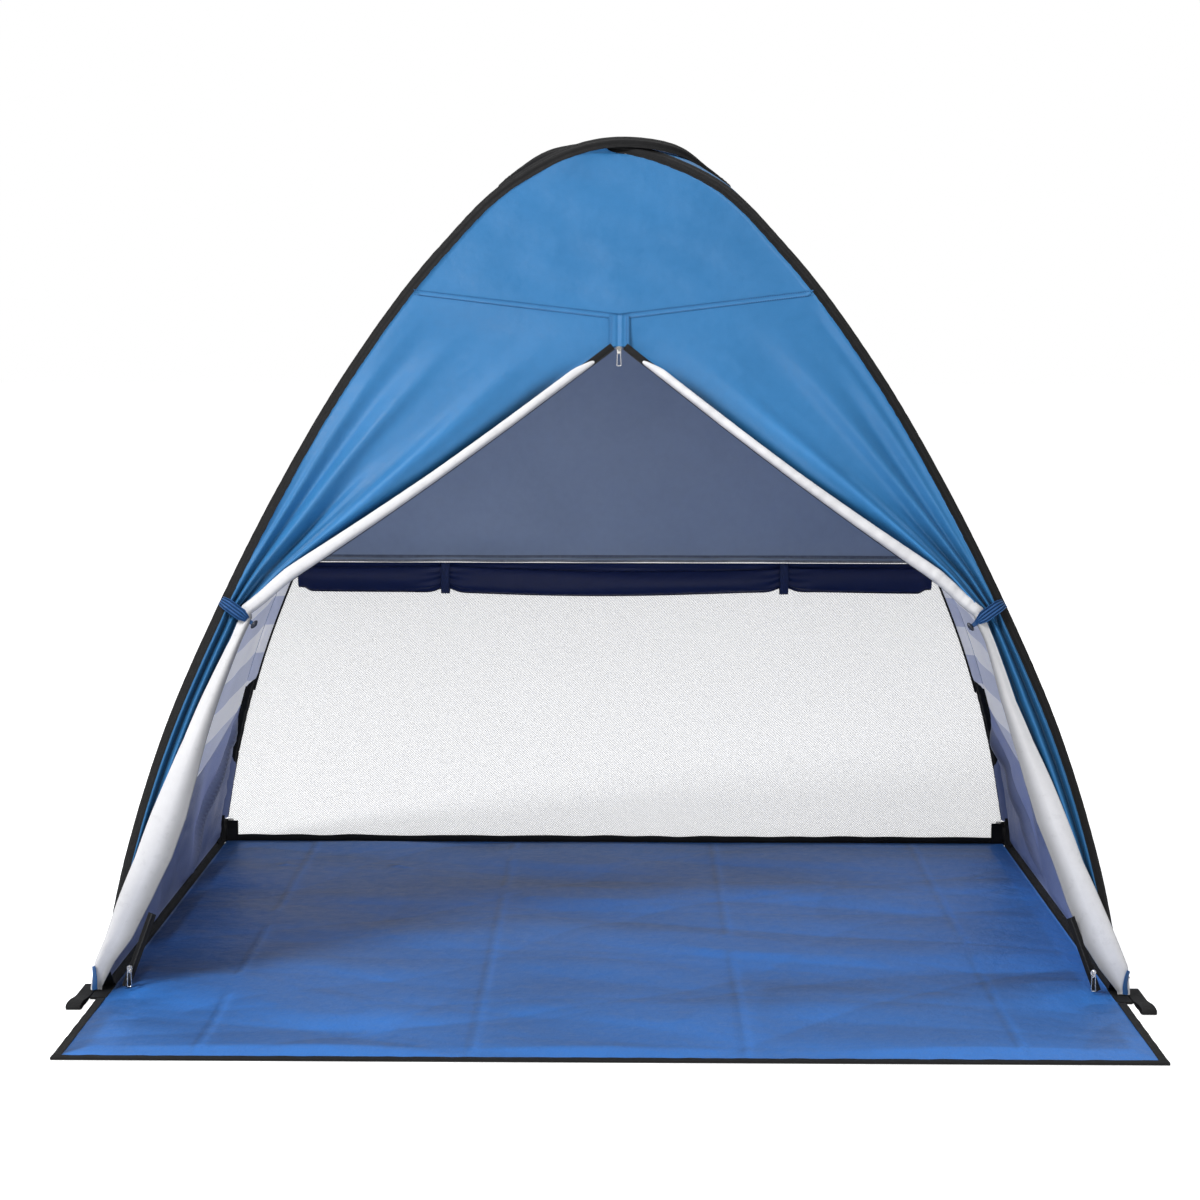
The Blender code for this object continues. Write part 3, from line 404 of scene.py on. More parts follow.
def rounded_strip(width, thickness):
    """The section of a flat tape with rounded edges."""
    half, rise, steps = width / 2, thickness / 2, 3
    section = []
    for side in (1.0, -1.0):
        for k in range(steps + 1):
            turn = math.pi * k / steps - math.pi / 2
            section.append((side * (half - rise + rise * math.cos(turn)), side * rise * math.sin(turn)))
    return section


def add_tape(name, path, facing, size, finish="black", nodes=()):
    """A flat tape along a path, of a given width and thickness."""
    tape = add_swept(name, straight_line(path, facing), rounded_strip(*size), finish)
    keep(tape, nodes)


def add_stitches(name, path, out, stitch, finish="black_thread", body_name="tent"):
    """A row of stitches, each a small raised lozenge of thread that lies on the cloth."""
    pitch, length, width = stitch
    lengths = run_lengths(path)
    places = np.arange(pitch / 2, lengths[-1] - length, pitch)
    start, end = read_at(path, lengths, places), read_at(path, lengths, places + length)
    out = unit(read_at(np.broadcast_to(out, path.shape), lengths, places))
    middle, along = (start + end) / 2, unit(end - start)
    side = unit(np.cross(along, out)) * width / 2
    quarter = (end - start) / 4
    rise = out * width / 2
    rings = np.stack(
        [
            start,
            middle - quarter + side + rise * 0.6,
            middle - quarter - side + rise * 0.6,
            middle - quarter + rise * 1.4,
            middle + quarter + side + rise * 0.6,
            middle + quarter - side + rise * 0.6,
            middle + quarter + rise * 1.4,
            end,
        ],
        axis=1,
    )
    pattern = np.array([(0, 1, 3, 3), (0, 3, 2, 2), (1, 4, 6, 3), (3, 6, 5, 2), (4, 7, 6, 6), (6, 7, 5, 5)])
    faces = []
    for k in range(len(places)):
        for a, b, c, d in pattern + 8 * k:
            faces.append((a, b, c) if c == d else (a, b, c, d))
    keep(add_mesh(name, rings.reshape(-1, 3), faces, [finish]), (), body_name)


# Finishes


def feed(tree, node, inputs):
    """Sets a node's inputs: another node's output is linked, anything else becomes the value."""
    for name, value in inputs.items():
        if isinstance(value, bpy.types.NodeSocket):
            tree.links.new(value, node.inputs[name])
        else:
            node.inputs[name].default_value = value
    return node


def add_node(tree, kind, inputs):
    return feed(tree, tree.nodes.new("ShaderNode" + kind), inputs)


def new_finish(name):
    finish = bpy.data.materials.new(name)
    finish.use_nodes = True
    return finish, finish.node_tree, finish.node_tree.nodes["Principled BSDF"]


def object_place(tree):
    return tree.nodes.new("ShaderNodeTexCoord").outputs["Object"]


def weave_place(tree):
    node = tree.nodes.new("ShaderNodeUVMap")
    node.uv_map = "weave"
    return node.outputs["UV"]


def noise(tree, place, scale, detail, roughness=0.5):
    inputs = {"Scale": scale, "Detail": detail, "Roughness": roughness, "Vector": place}
    return add_node(tree, "TexNoise", inputs).outputs["Fac"]


def span(tree, value, low, high, from_low=0.3, from_high=0.7):
    """The value moved from one range to another and held inside it."""
    inputs = {"From Min": from_low, "From Max": from_high, "To Min": low, "To Max": high, "Value": value}
    return add_node(tree, "MapRange", inputs).outputs["Result"]


def combine(tree, operation, a, b):
    node = tree.nodes.new("ShaderNodeMath")
    node.operation = operation
    return feed(tree, node, {0: a, 1: b}).outputs["Value"]


def shade_colour(tree, colour, factor):
    """The colour times a factor that varies over the surface."""
    node = tree.nodes.new("ShaderNodeVectorMath")
    node.operation = "SCALE"
    return feed(tree, node, {0: colour, "Scale": factor}).outputs["Vector"]


def crossed_waves(tree, place, pitch, directions=("X", "Y"), distortion=0.0):
    """Bright bands of a given pitch, times a second set across the first."""
    sets = []
    for direction in directions:
        wave = tree.nodes.new("ShaderNodeTexWave")
        wave.bands_direction = direction
        feed(tree, wave, {"Scale": 1.0 / (pitch * 3.2), "Distortion": distortion, "Vector": place})
        sets.append(wave.outputs["Fac"])
    return sets[0] if len(sets) == 1 else combine(tree, "MULTIPLY", *sets)


def add_bumps(tree, shader, heights):
    """Bumps from several heights, each with its own depth."""
    before = {}
    for height, distance, strength in heights:
        inputs = {"Distance": distance, "Strength": strength, "Height": height, **before}
        before = {"Normal": add_node(tree, "Bump", inputs).outputs["Normal"]}
    feed(tree, shader, before)


def mix_shaders(tree, share, first, second):
    return add_node(tree, "MixShader", {0: share, 1: first, 2: second}).outputs[0]


def cloth_finish(name, colour, roughness, sheen, glow=0.0, crumple=0.3, stripes=None, lit=0.0):
    """Woven cloth: its weave, a slight unevenness of tone and gloss, crumples, light that passes, the mesh's
    painted fold shade, and where lit is given a painted glow in its own colour.
    """
    finish, tree, shader = new_finish(name)
    place = object_place(tree)
    broad = noise(tree, place, 3.5, 2.0)
    fine = noise(tree, place, 60.0, 4.0, 0.6)
    weave = crossed_waves(tree, weave_place(tree), thread_pitch, distortion=0.4)
    tone = combine(tree, "MULTIPLY", span(tree, broad, 0.93, 1.06), span(tree, fine, 0.97, 1.03))
    tone = combine(tree, "MULTIPLY", tone, span(tree, weave, 0.94, 1.04, 0.0, 1.0))
    # Painted shade: the tone is darkened by the mesh's painted fold shade, and lightened as a painted
    # highlight where that is below zero.
    shade = tree.nodes.new("ShaderNodeAttribute")
    shade.attribute_name = "painted_fold_shade"
    tone = combine(tree, "MULTIPLY", tone, combine(tree, "SUBTRACT", 1.0, shade.outputs["Fac"]))
    tint = shade_colour(tree, stripes(tree, place) if stripes else colour, tone)
    inputs = {
        "Base Color": tint,
        "Roughness": span(tree, fine, roughness - 0.05, roughness + 0.07),
        "Sheen Weight": sheen,
        "Sheen Roughness": 0.4,
        "Specular IOR Level": 0.3,
    }
    feed(tree, shader, inputs)
    # Painted light: the cloth glows in its own colour as if lit through from outside.
    if lit:
        feed(tree, shader, {"Emission Color": tint, "Emission Strength": lit})
    add_bumps(tree, shader, [(weave, 0.0003, 0.5), (noise(tree, place, 22.0, 5.0, 0.62), 0.004, crumple)])
    if glow:
        through = add_node(tree, "BsdfTranslucent", {"Color": tint})
        surface = mix_shaders(tree, glow, shader.outputs[0], through.outputs[0])
        feed(tree, tree.nodes["Material Output"], {"Surface": surface})
    return finish


def striped(light, dark, start, width):
    """Broad level stripes: a light one begins at the start height, and all are equally wide."""
    blur = 0.0006

    def build(tree, place):
        parts = add_node(tree, "SeparateXYZ", {"Vector": place})
        above = combine(tree, "SUBTRACT", parts.outputs["Z"], start - width / 2)
        wave = combine(tree, "PINGPONG", above, width)
        mix = tree.nodes.new("ShaderNodeMix")
        mix.data_type = "RGBA"
        edge = span(tree, wave, 0.0, 1.0, width / 2 - blur, width / 2 + blur)
        return feed(tree, mix, {"Factor": edge, "A": (*dark, 1.0), "B": (*light, 1.0)}).outputs["Result"]

    return build


def tape_finish(name, colour, pitch=0.0016, roughness=0.7):
    """Grosgrain tape: fine ribs across it, matt and a little worn."""
    finish, tree, shader = new_finish(name)
    place = object_place(tree)
    ribs = crossed_waves(tree, weave_place(tree), pitch, ("Y",), 0.4)
    fine = noise(tree, place, 140.0, 4.0, 0.6)
    tone = combine(tree, "MULTIPLY", span(tree, ribs, 0.7, 1.2, 0.0, 1.0), span(tree, fine, 0.8, 1.25))
    tint = shade_colour(tree, colour, tone)
    gloss = span(tree, fine, roughness - 0.08, roughness + 0.08)
    feed(tree, shader, {"Base Color": tint, "Roughness": gloss, "Specular IOR Level": 0.3})
    add_bumps(tree, shader, [(ribs, 0.0004, 0.6), (fine, 0.0006, 0.3)])
    return finish


def metal_finish(name, colour, roughness):
    finish, tree, shader = new_finish(name)
    fine = noise(tree, object_place(tree), 400.0, 4.0, 0.6)
    tint = shade_colour(tree, colour, span(tree, fine, 0.9, 1.05))
    gloss = span(tree, fine, roughness - 0.06, roughness + 0.1)
    feed(tree, shader, {"Base Color": tint, "Roughness": gloss, "Metallic": 1.0})
    add_bumps(tree, shader, [(fine, 0.0002, 0.2)])
    return finish


def plastic_finish(name, colour, roughness):
    finish, tree, shader = new_finish(name)
    fine = noise(tree, object_place(tree), 260.0, 5.0, 0.6)
    tint = shade_colour(tree, colour, span(tree, fine, 0.85, 1.15))
    gloss = span(tree, fine, roughness - 0.05, roughness + 0.12)
    feed(tree, shader, {"Base Color": tint, "Roughness": gloss})
    add_bumps(tree, shader, [(fine, 0.0003, 0.25)])
    return finish


def net_finish(name, colour, pitch, open_share):
    """Fine knitted net: threads with small openings between them that let the ground behind show."""
    finish, tree, shader = new_finish(name)
    turn = (0.0, 0.0, math.radians(38.0))
    turned = add_node(tree, "Mapping", {"Rotation": turn, "Vector": weave_place(tree)})
    holes = crossed_waves(tree, turned.outputs["Vector"], pitch)
    gap = span(tree, holes, 0.56, 1.0 - open_share, 0.04, 0.30)
    broad = noise(tree, object_place(tree), 5.0, 2.0)
    tone = combine(tree, "MULTIPLY", span(tree, holes, 1.0, 0.86, 0.2, 0.8), span(tree, broad, 0.97, 1.02))
    feed(tree, shader, {"Base Color": shade_colour(tree, colour, tone), "Roughness": 0.75})
    through = add_node(tree, "BsdfTranslucent", {"Color": (*colour, 1.0)})
    thread = mix_shaders(tree, 0.70, shader.outputs[0], through.outputs[0])
    clear = tree.nodes.new("ShaderNodeBsdfTransparent")
    surface = mix_shaders(tree, gap, clear.outputs[0], thread)
    feed(tree, tree.nodes["Material Output"], {"Surface": surface})
    return finish


stripe_start = 0.290
stripe_width = 0.060


def make_finishes():
    """Fills the table of finishes by name."""
    stripes = striped((0.80, 0.80, 0.83), (0.50, 0.53, 0.66), stripe_start, stripe_width)
    made = {
        "blue": cloth_finish("blue_cloth", (0.033, 0.182, 0.420), 0.38, 0.03, 0.05),
        "silver": cloth_finish("silver_coating", (0.74, 0.74, 0.76), 0.30, 0.0, 0.03, crumple=0.25),
        # Painted shade: the rear and lower-side insides are the silver coating drawn as darker grey-blue and
        # mauve copies. These and the striped inside also glow in their own colour, a painted light.
        "painted_shade_silver_rear": cloth_finish("grey_blue_inside", (0.245, 0.305, 0.420), 0.5, 0.03, 0.0, lit=0.06),
        "stripes": cloth_finish("striped_inside", None, 0.5, 0.0, 0.0, stripes=stripes, lit=0.28),
        "painted_shade_silver_side": cloth_finish("mauve_inside", (0.160, 0.200, 0.370), 0.45, 0.03, 0.0, lit=0.06),
        "navy": cloth_finish("navy_cloth", (0.006, 0.014, 0.070), 0.45, 0.02, crumple=0.5),
        "floor": cloth_finish("floor_cloth", (0.024, 0.130, 0.410), 0.34, 0.03, crumple=1.0),
        "black": tape_finish("black_tape", (0.0045, 0.0045, 0.0052)),
        "strap": cloth_finish("blue_strap", (0.022, 0.095, 0.270), 0.42, 0.02, crumple=0.6),
        "navy_tape": tape_finish("navy_tape", (0.012, 0.024, 0.085), 0.0014, 0.6),
        "piping": tape_finish("grey_piping", (0.300, 0.320, 0.360), 0.0014, 0.6),
        "seam_tape": tape_finish("seam_tape", (0.120, 0.145, 0.205), 0.0014, 0.6),
        "pale_thread": tape_finish("pale_thread", (0.420, 0.440, 0.480), 0.0006, 0.6),
        "thread": tape_finish("blue_thread", (0.020, 0.085, 0.280), 0.0006, 0.6),
        "black_thread": tape_finish("black_thread", (0.030, 0.030, 0.032), 0.0006, 0.6),
        "teeth": plastic_finish("zip_teeth", (0.020, 0.020, 0.022), 0.4),
        "toggle": plastic_finish("toggle_plastic", (0.012, 0.016, 0.030), 0.3),
        "steel": metal_finish("plated_metal", (0.78, 0.77, 0.75), 0.22),
        "wire": metal_finish("spring_steel", (0.45, 0.45, 0.46), 0.35),
        "net": net_finish("white_net", (0.90, 0.90, 0.89), 0.0036, 0.80),
    }
    finishes.update(made)


# Lines and grids that the panels are drawn from


class Face:
    """The taut face of the doorway, ruled between the edges of the two sleeves."""

    def __init__(self, left_edge, right_edge):
        self.left = left_edge[np.argsort(left_edge[:, 2])]
        self.right = right_edge[np.argsort(right_edge[:, 2])]

    def end(self, side, height):
        edge = self.left if side < 0 else self.right
        return read_at(edge, edge[:, 2], height)

    def point(self, x, height):
        a, b = self.end(-1.0, height), self.end(1.0, height)
        share = (x - a[..., 0]) / (b[..., 0] - a[..., 0])
        return a + (b - a) * np.expand_dims(share, -1)


def patch(bottom, top, start, end, fade_powers=(1.0, 1.0, 1.0)):
    """A grid over four edges that meet at their ends. The top's bulge fades by a power along each axis."""
    rise, run = run_lengths(start), run_lengths(top)
    v = (rise / rise[-1])[:, None, None]
    u = (run / run[-1])[None, :, None]
    taut = start[:, None] * (1 - u) + end[:, None] * u
    bottom_bulge = bottom[None] - (bottom[0] * (1 - u) + bottom[-1] * u)
    top_bulge = top[None] - (top[0] * (1 - u) + top[-1] * u)
    return taut + bottom_bulge * (1 - v) + top_bulge * v ** np.array(fade_powers)


def pushed(rows, depth):
    """The grid with each point moved out of the tent along its normal."""
    normals = surface_normals(rows)
    if np.sum(normals * (rows - np.asarray(inside_point))) < 0:
        normals = -normals
    return rows + normals * depth[..., None]


def grid_area(rows):
    one = np.cross(rows[1:, :-1] - rows[:-1, :-1], rows[:-1, 1:] - rows[:-1, :-1])
    two = np.cross(rows[1:, :-1] - rows[1:, 1:], rows[:-1, 1:] - rows[1:, 1:])
    return float((np.linalg.norm(one, axis=-1).sum() + np.linalg.norm(two, axis=-1).sum()) / 2)


def cut_of(rows):
    """The flat width, length and area of a panel cut to the shape of a grid before any fold."""
    width = float(np.linalg.norm(np.diff(rows, axis=1), axis=2).sum(axis=1).max())
    length = float(np.linalg.norm(np.diff(rows, axis=0), axis=2).sum(axis=0).max())
    return (width, length), min(grid_area(rows), width * length)


class Tent:
    """The lines that every panel is drawn from."""

    def __init__(self):
        left, crossing = loop_half(lap_rise)
        right, _ = loop_half(-lap_rise)
        self.crossing = crossing
        self.left, self.right = left, right.turned(0)
        rising = slice(0, crossing)
        self.face = Face(self.left.edge(edge_reach)[rising], self.right.edge(edge_reach)[rising])
        self.seam_ends = {side: self.face.end(side, header_seam_height) for side in (-1.0, 1.0)}

    def own(self, name):
        return self.left if name == "left" else self.right

    def other(self, name):
        return self.right if name == "left" else self.left

    def station(self, height):
        """The first station of the arch that is this high."""
        return int(np.argmax(self.left.point[: self.crossing, 2] >= height))

    def seam(self, x):
        """The height of the header seam, which falls straight from both sleeves to the zip."""
        end = self.seam_ends[-1.0 if x < zip_x else 1.0]
        share = (x - zip_x) / (end[0] - zip_x)
        return end[2] - header_seam_drop * (1 - share)

    def sleeve_edge(self, name, heights):
        """Points along a sleeve's edge on the arch, at the given heights."""
        edge = self.own(name).edge(edge_reach)[: self.crossing + 1]
        return read_at(edge, edge[:, 2], heights)

    def meeting(self, gap):
        """The first station of the arch where the two loops are less than this far apart."""
        one, two = self.left.point[: self.crossing], self.right.point[: self.crossing]
        apart = np.linalg.norm(one - two, axis=1)
        return int(np.argmax(apart < gap))


# What each piece stands for


def settle(body, panel, nodes, body_name="tent"):
    """Hides the solids that a sheet of cloth stands for and sets what it moves with; its flat cut is worked
    out but not used.
    """
    flat, area = cut_of(panel)
    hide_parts(*nodes)
    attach(body, body_name)
    return body


def keep(body, nodes=(), body_name="tent"):
    """Sets what a piece moves with and hides the solids it stands for."""
    if nodes:
        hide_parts(*nodes)
    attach(body, body_name)
    return body


# Frame and sleeves

sleeve_rise = 0.0046
flange_rise = 0.0009
pucker_depth = 0.0004
sleeve_seeds = {"left": 31, "right": 32}


def sleeve_profile(width, rise, flange):
    """A tape folded round the wire: a round middle and two flat flanges."""
    half = width / 2
    bulge = [(0.0, 1.0), (0.14, 0.95), (0.26, 0.72), (0.36, 0.40), (0.46, 0.22)]
    upper = [(share * half, rise * height) for share, height in bulge]
    upper += [(0.66 * half, flange), (0.94 * half, flange), (half, 0.0)]
    ring = upper + [(a, -c) for a, c in reversed(upper[:-1])]
    ring += [(-a, -c) for a, c in upper[1:]]
    ring += [(-a, c) for a, c in reversed(upper[1:-1])]
    return np.array(ring)


def build_sleeves(tent):
    """The tape round each wire, slightly puckered, with a row of stitches on either side of the wire."""
    profile = sleeve_profile(sleeve_width - 0.0006, sleeve_rise, flange_rise)
    for name in side_of:
        line = whole_line(tent.own(name), 0)
        lengths = run_lengths(line.point)
        pucker = ripples(lengths, 0.0, 0.018, sleeve_seeds[name])[:, None]
        sections = np.repeat(profile[None], len(lengths), axis=0)
        sections[..., 1] *= 1 + 0.10 * pucker
        sections[..., 0] += pucker_depth * pucker
        sleeve = add_swept(f"{name}_arch_sleeve", line, sections, "black")
        keep(sleeve, [f"{name}_hoop_sleeve"])
        for k, share in enumerate((-0.60, 0.60)):
            path = line.edge(share * sleeve_width / 2) + line.out * (flange_rise + sleeve_stitch[2] / 4)
            add_stitches(f"{name}_sleeve_stitches_{k}", path, line.out, sleeve_stitch)
        build_sleeve_corners(line, name)


def build_sleeve_corners(line, name):
    """The short ends of a sleeve, which turn with the wire from its upright run into the floor's edge."""
    turns = np.linspace(0.0, math.tau, 14, endpoint=False)
    share = np.linspace(0.0, 1.0, 30)[:, None]
    half_width = corner_cover_radius + (sleeve_width / 2 - corner_cover_radius) * (1 - share) ** 2
    half_depth = sleeve_rise + (corner_cover_radius - sleeve_rise) * share
    tube = np.stack([np.cos(turns) * half_width, np.sin(turns) * half_depth], axis=-1)
    for end, place, inward in (("front", 0, 1.0), ("rear", -1, -1.0)):
        top = line.point[place]
        side = math.copysign(1.0, top[0])
        low = np.array([side * hoop_half_span, top[1], corner_cover_radius])
        after = low + np.array([0.0, inward * corner_radius, 0.0])
        before = top + np.array([0.0, 0.0, corner_cover_radius])
        path = (1 - share) ** 2 * before + 2 * share * (1 - share) * low + share**2 * after
        bend = straight_line(path, (side, 0.0, 0.0))
        keep(add_swept(f"{name}_{end}_sleeve_corner", bend, tube, "black"))


def build_floor_bindings():
    """The tape folded round the floor side of each loop."""
    outline = [(1.0, 0.0), (0.99, 0.0011), (0.60, 0.0019), (0.42, 0.0058), (0.28, 0.0088), (0.10, 0.0100)]
    outline = np.array(outline + [(-a, c) for a, c in reversed(outline)])
    for name, side in side_of.items():
        node = f"{name}_floor_binding"
        low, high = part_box(node)
        x = side * hoop_half_span
        path = np.linspace((x, low[1], 0.0), (x, high[1], 0.0), 220)
        line = straight_line(path, upright)
        half = (high[0] - low[0]) / 2
        wave = ripples(path[:, 1], 0.0, 0.05, 7)
        sections = np.repeat(outline[None], len(path), axis=0)
        sections[..., 0] *= half
        sections[..., 1] *= 1 + 0.05 * wave[:, None]
        lift = np.clip(np.abs(path[:, 1] - middle_y) - (body_depth / 2 - corner_radius), 0.0, None)
        line.point[:, 2] += lift**2 / (corner_radius + corner_radius)
        keep(add_swept(f"{name}_side_binding", line, sections, "black"), [node])
        for k, share in enumerate((-0.78, 0.78)):
            path = line.edge(share * half) + line.out * 0.0020
            add_stitches(f"{name}_binding_stitches_{k}", path, line.out, binding_stitch)


# Panels of the front and the crown


def header_rows(tent):
    """The header before any wrinkle: its lowest row follows the seam, and rows above lie nearer to level."""
    chosen = slice(tent.station(header_seam_height), tent.meeting(sleeve_width))
    left, right = tent.left.edge(edge_reach)[chosen], tent.right.edge(edge_reach)[chosen]
    columns = np.linspace(0.0, 1.0, 61)
    rows = []
    for k, (a, b) in enumerate(zip(left, right)):
        fade = (1 - k / (len(left) - 1)) ** 2
        x = a[0] + (b[0] - a[0]) * columns
        height = a[2] + (b[2] - a[2]) * columns
        reach = np.where(x < zip_x, (x - zip_x) / (a[0] - zip_x), (x - zip_x) / (b[0] - zip_x))
        row = tent.face.point(x, height - header_seam_drop * (1 - reach) * fade)
        row[0], row[-1] = a, b
        rows.append(row)
    return np.array(rows)


def build_header(tent):
    rows = header_rows(tent)
    x, z = rows[..., 0], rows[..., 2]
    edge = np.sin(np.pi * np.linspace(0.0, 1.0, rows.shape[1]))[None, :] ** 0.4
    pull = smoothstep(0.16, 0.0, z - header_seam_height) * bump(x, zip_x, 0.12)
    depth = 0.0014 * ripples(x, z, 0.09, 3) + 0.0010 * creases(x, z, 0.12, 4)
    depth = depth + 0.0016 * pull * np.cos((x - zip_x) * math.tau / 0.16 + 9.0 * (z - header_seam_height))
    seam_row = np.exp(-np.arange(len(rows)) / 3)[:, None]
    shaped = pushed(rows, depth * edge * (1 - seam_row))
    body = add_sheet("front_header", shaped, "blue", "silver")
    settle(body, rows, ["front_header_panel"])
    build_header_seam(tent, rows[:3])


def build_header_seam(tent, lowest):
    """The folded band over the header's lowest rows and its two rows of stitches."""
    seam = lowest[0]
    rows = tent.face.point(lowest[..., 0], seam[:, 2] + 0.005 * np.array([1, 0, -1])[:, None])
    rows[..., 1] -= 0.0010
    band = add_sheet("header_seam_band", rows, "blue", "blue", seam_band_thickness)
    cut_of(rows)[0]
    keep(band)
    for k, offset in enumerate((0.0034, -0.0034)):
        path = tent.face.point(seam[:, 0], seam[:, 2] + offset)
        path[:, 1] -= 0.0015
        out = (0.0, -1.0, 0.3)
        add_stitches(f"header_seam_stitches_{k}", path, out, header_stitch, "thread")


def build_crown(tent):
    """The small lens between the two loops, domed a little over the crossing."""
    cross = tent.crossing
    one, two = whole_line(tent.left, cross), whole_line(tent.right, cross)
    apart = np.linalg.norm(one.point - two.point, axis=1)
    skip = int(np.argmax(apart > sleeve_width + 0.006))
    chosen = slice(skip, len(one.point) - skip)
    rows = rows_between(one.edge(-edge_reach)[chosen], two.edge(-edge_reach)[chosen], 24)
    share = np.linspace(0.0, 1.0, rows.shape[1])
    along = np.linspace(0.0, 1.0, len(rows))
    dome = np.outer(np.sin(np.pi * along), np.sin(np.pi * share)) ** 2
    rows[..., 2] += 0.026 * dome
    depth = 0.0010 * ripples(rows[..., 0], rows[..., 1], 0.07, 5) * dome**0.25
    body = add_sheet("crown_cloth", pushed(rows, depth), "blue", "silver")
    settle(body, rows, ["crown_panel"])


# Door halves

# The hanging band by height above the ground: its depth, how far inward of the sleeve it starts, its width
band_heights = (0.010, 0.050, 0.090, 0.155, 0.220, 0.283, 0.348, 0.410, 0.473, 0.569, 0.600, 0.612)
band_depths = (0.004, 0.006, 0.008, 0.009, 0.010, 0.010, 0.010, 0.010, 0.010, 0.012, 0.013, 0.014)
left_band_offsets = (-0.036, -0.029, -0.019, -0.009, 0.003, 0.009, 0.017, 0.023, 0.025, 0.030, 0.028, 0.022)
left_band_widths = (0.018, 0.032, 0.045, 0.056, 0.061, 0.061, 0.050, 0.038, 0.031, 0.020, 0.022, 0.022)
right_band_offsets = (-0.032, -0.028, -0.019, -0.003, 0.012, 0.019, 0.026, 0.034, 0.037, 0.029, 0.027, 0.022)
right_band_widths = (0.020, 0.048, 0.058, 0.057, 0.050, 0.052, 0.045, 0.034, 0.025, 0.017, 0.019, 0.022)
# The band along the turned-back edge: its width at shares of its length from the zip to the tie
band_width_shares = (0.0, 0.055, 0.11, 0.5, 0.88, 1.0)
band_widths = (0.0015, 0.0045, 0.015, 0.017, 0.023, 0.021)
tie_fan_width = 0.023
tie_sink = 0.008
fan_rows = 150
fan_columns = 60
hanging_rows = 110
roll_steps = 104
roll_turns = 4.3
door_seeds = {"left": 11, "right": 15}
seam_lap = 0.0006


def spiral(width, depth, turns, steps):
    """A roll of cloth seen from its end, wound inward: places along the cloth and out of it."""
    angle = np.linspace(-math.pi / 2, -math.pi / 2 + math.tau * turns, steps)
    inset = 0.40 * depth * (angle + math.pi / 2) / (math.tau * turns)
    a = width / 2 - np.minimum(inset, 0.40 * width)
    b = depth / 2 - inset
    along = np.sign(np.cos(angle)) * np.abs(np.cos(angle)) ** 0.8 * a
    return np.stack([along, depth / 2 + np.sin(angle) * b], axis=-1)


def door_edge(tent, side):
    """The lower edge of the turned-back door, from the closed end of the zip down to the tie."""
    start_x = zip_x + side * zip_part_width / 2
    tie_x = tent.face.end(side, tie_height)[0] - side * tie_width
    share = np.linspace(0.0, 1.0, 90)
    sag = 0.010 * np.sin(np.pi * share)
    x = start_x + (tie_x - start_x) * share
    return tent.face.point(x, zip_height + (tie_height - zip_height) * share - sag)


def edge_directions(lower):
    """The ways ahead of the turned-back edge and up from it along the face, at each of its points."""
    tangent = unit(np.gradient(lower, axis=0))
    ahead = unit(np.cross(tangent, np.cross(np.array([0.0, -1.0, 0.15]), tangent)))
    up = unit(np.cross(ahead, tangent))
    return ahead, np.where(up[:, 2:3] < 0, -up, up)


class Band:
    """The roll of cloth along the turned-back edge of a door half. Its root is the line it is wound from."""

    def __init__(self, tent, side):
        lower = door_edge(tent, side)
        share = run_lengths(lower)
        share = share / share[-1]
        width = np.interp(share, band_width_shares, band_widths)
        ahead, up = edge_directions(lower)
        root = lower + up * (width / 2)[:, None]
        root = root - ahead * (tie_sink * smoothstep(0.80, 1.0, share))[:, None]
        settling = smoothstep(0.86, 1.0, share)[:, None]
        end = tent.face.end(side, tie_height) + np.array([-side * (tie_fan_width + 0.010), tie_sink, 0.0])
        root = root * (1 - settling) + (root + end - root[-1]) * settling
        self.start_x = zip_x + side * zip_part_width / 2
        top = tent.face.point(self.start_x, tent.seam(self.start_x) - seam_lap)
        self.path = np.vstack([top, root])
        lengths = run_lengths(self.path)
        self.zip_share = lengths[1] / lengths[-1]
        self.share = np.concatenate([[0.0], share * (1 - self.zip_share) + self.zip_share])
        self.width = np.concatenate([band_widths[:1], width])
        self.ahead = np.vstack([ahead[:1], ahead])
        self.up = np.vstack([up[:1], up])


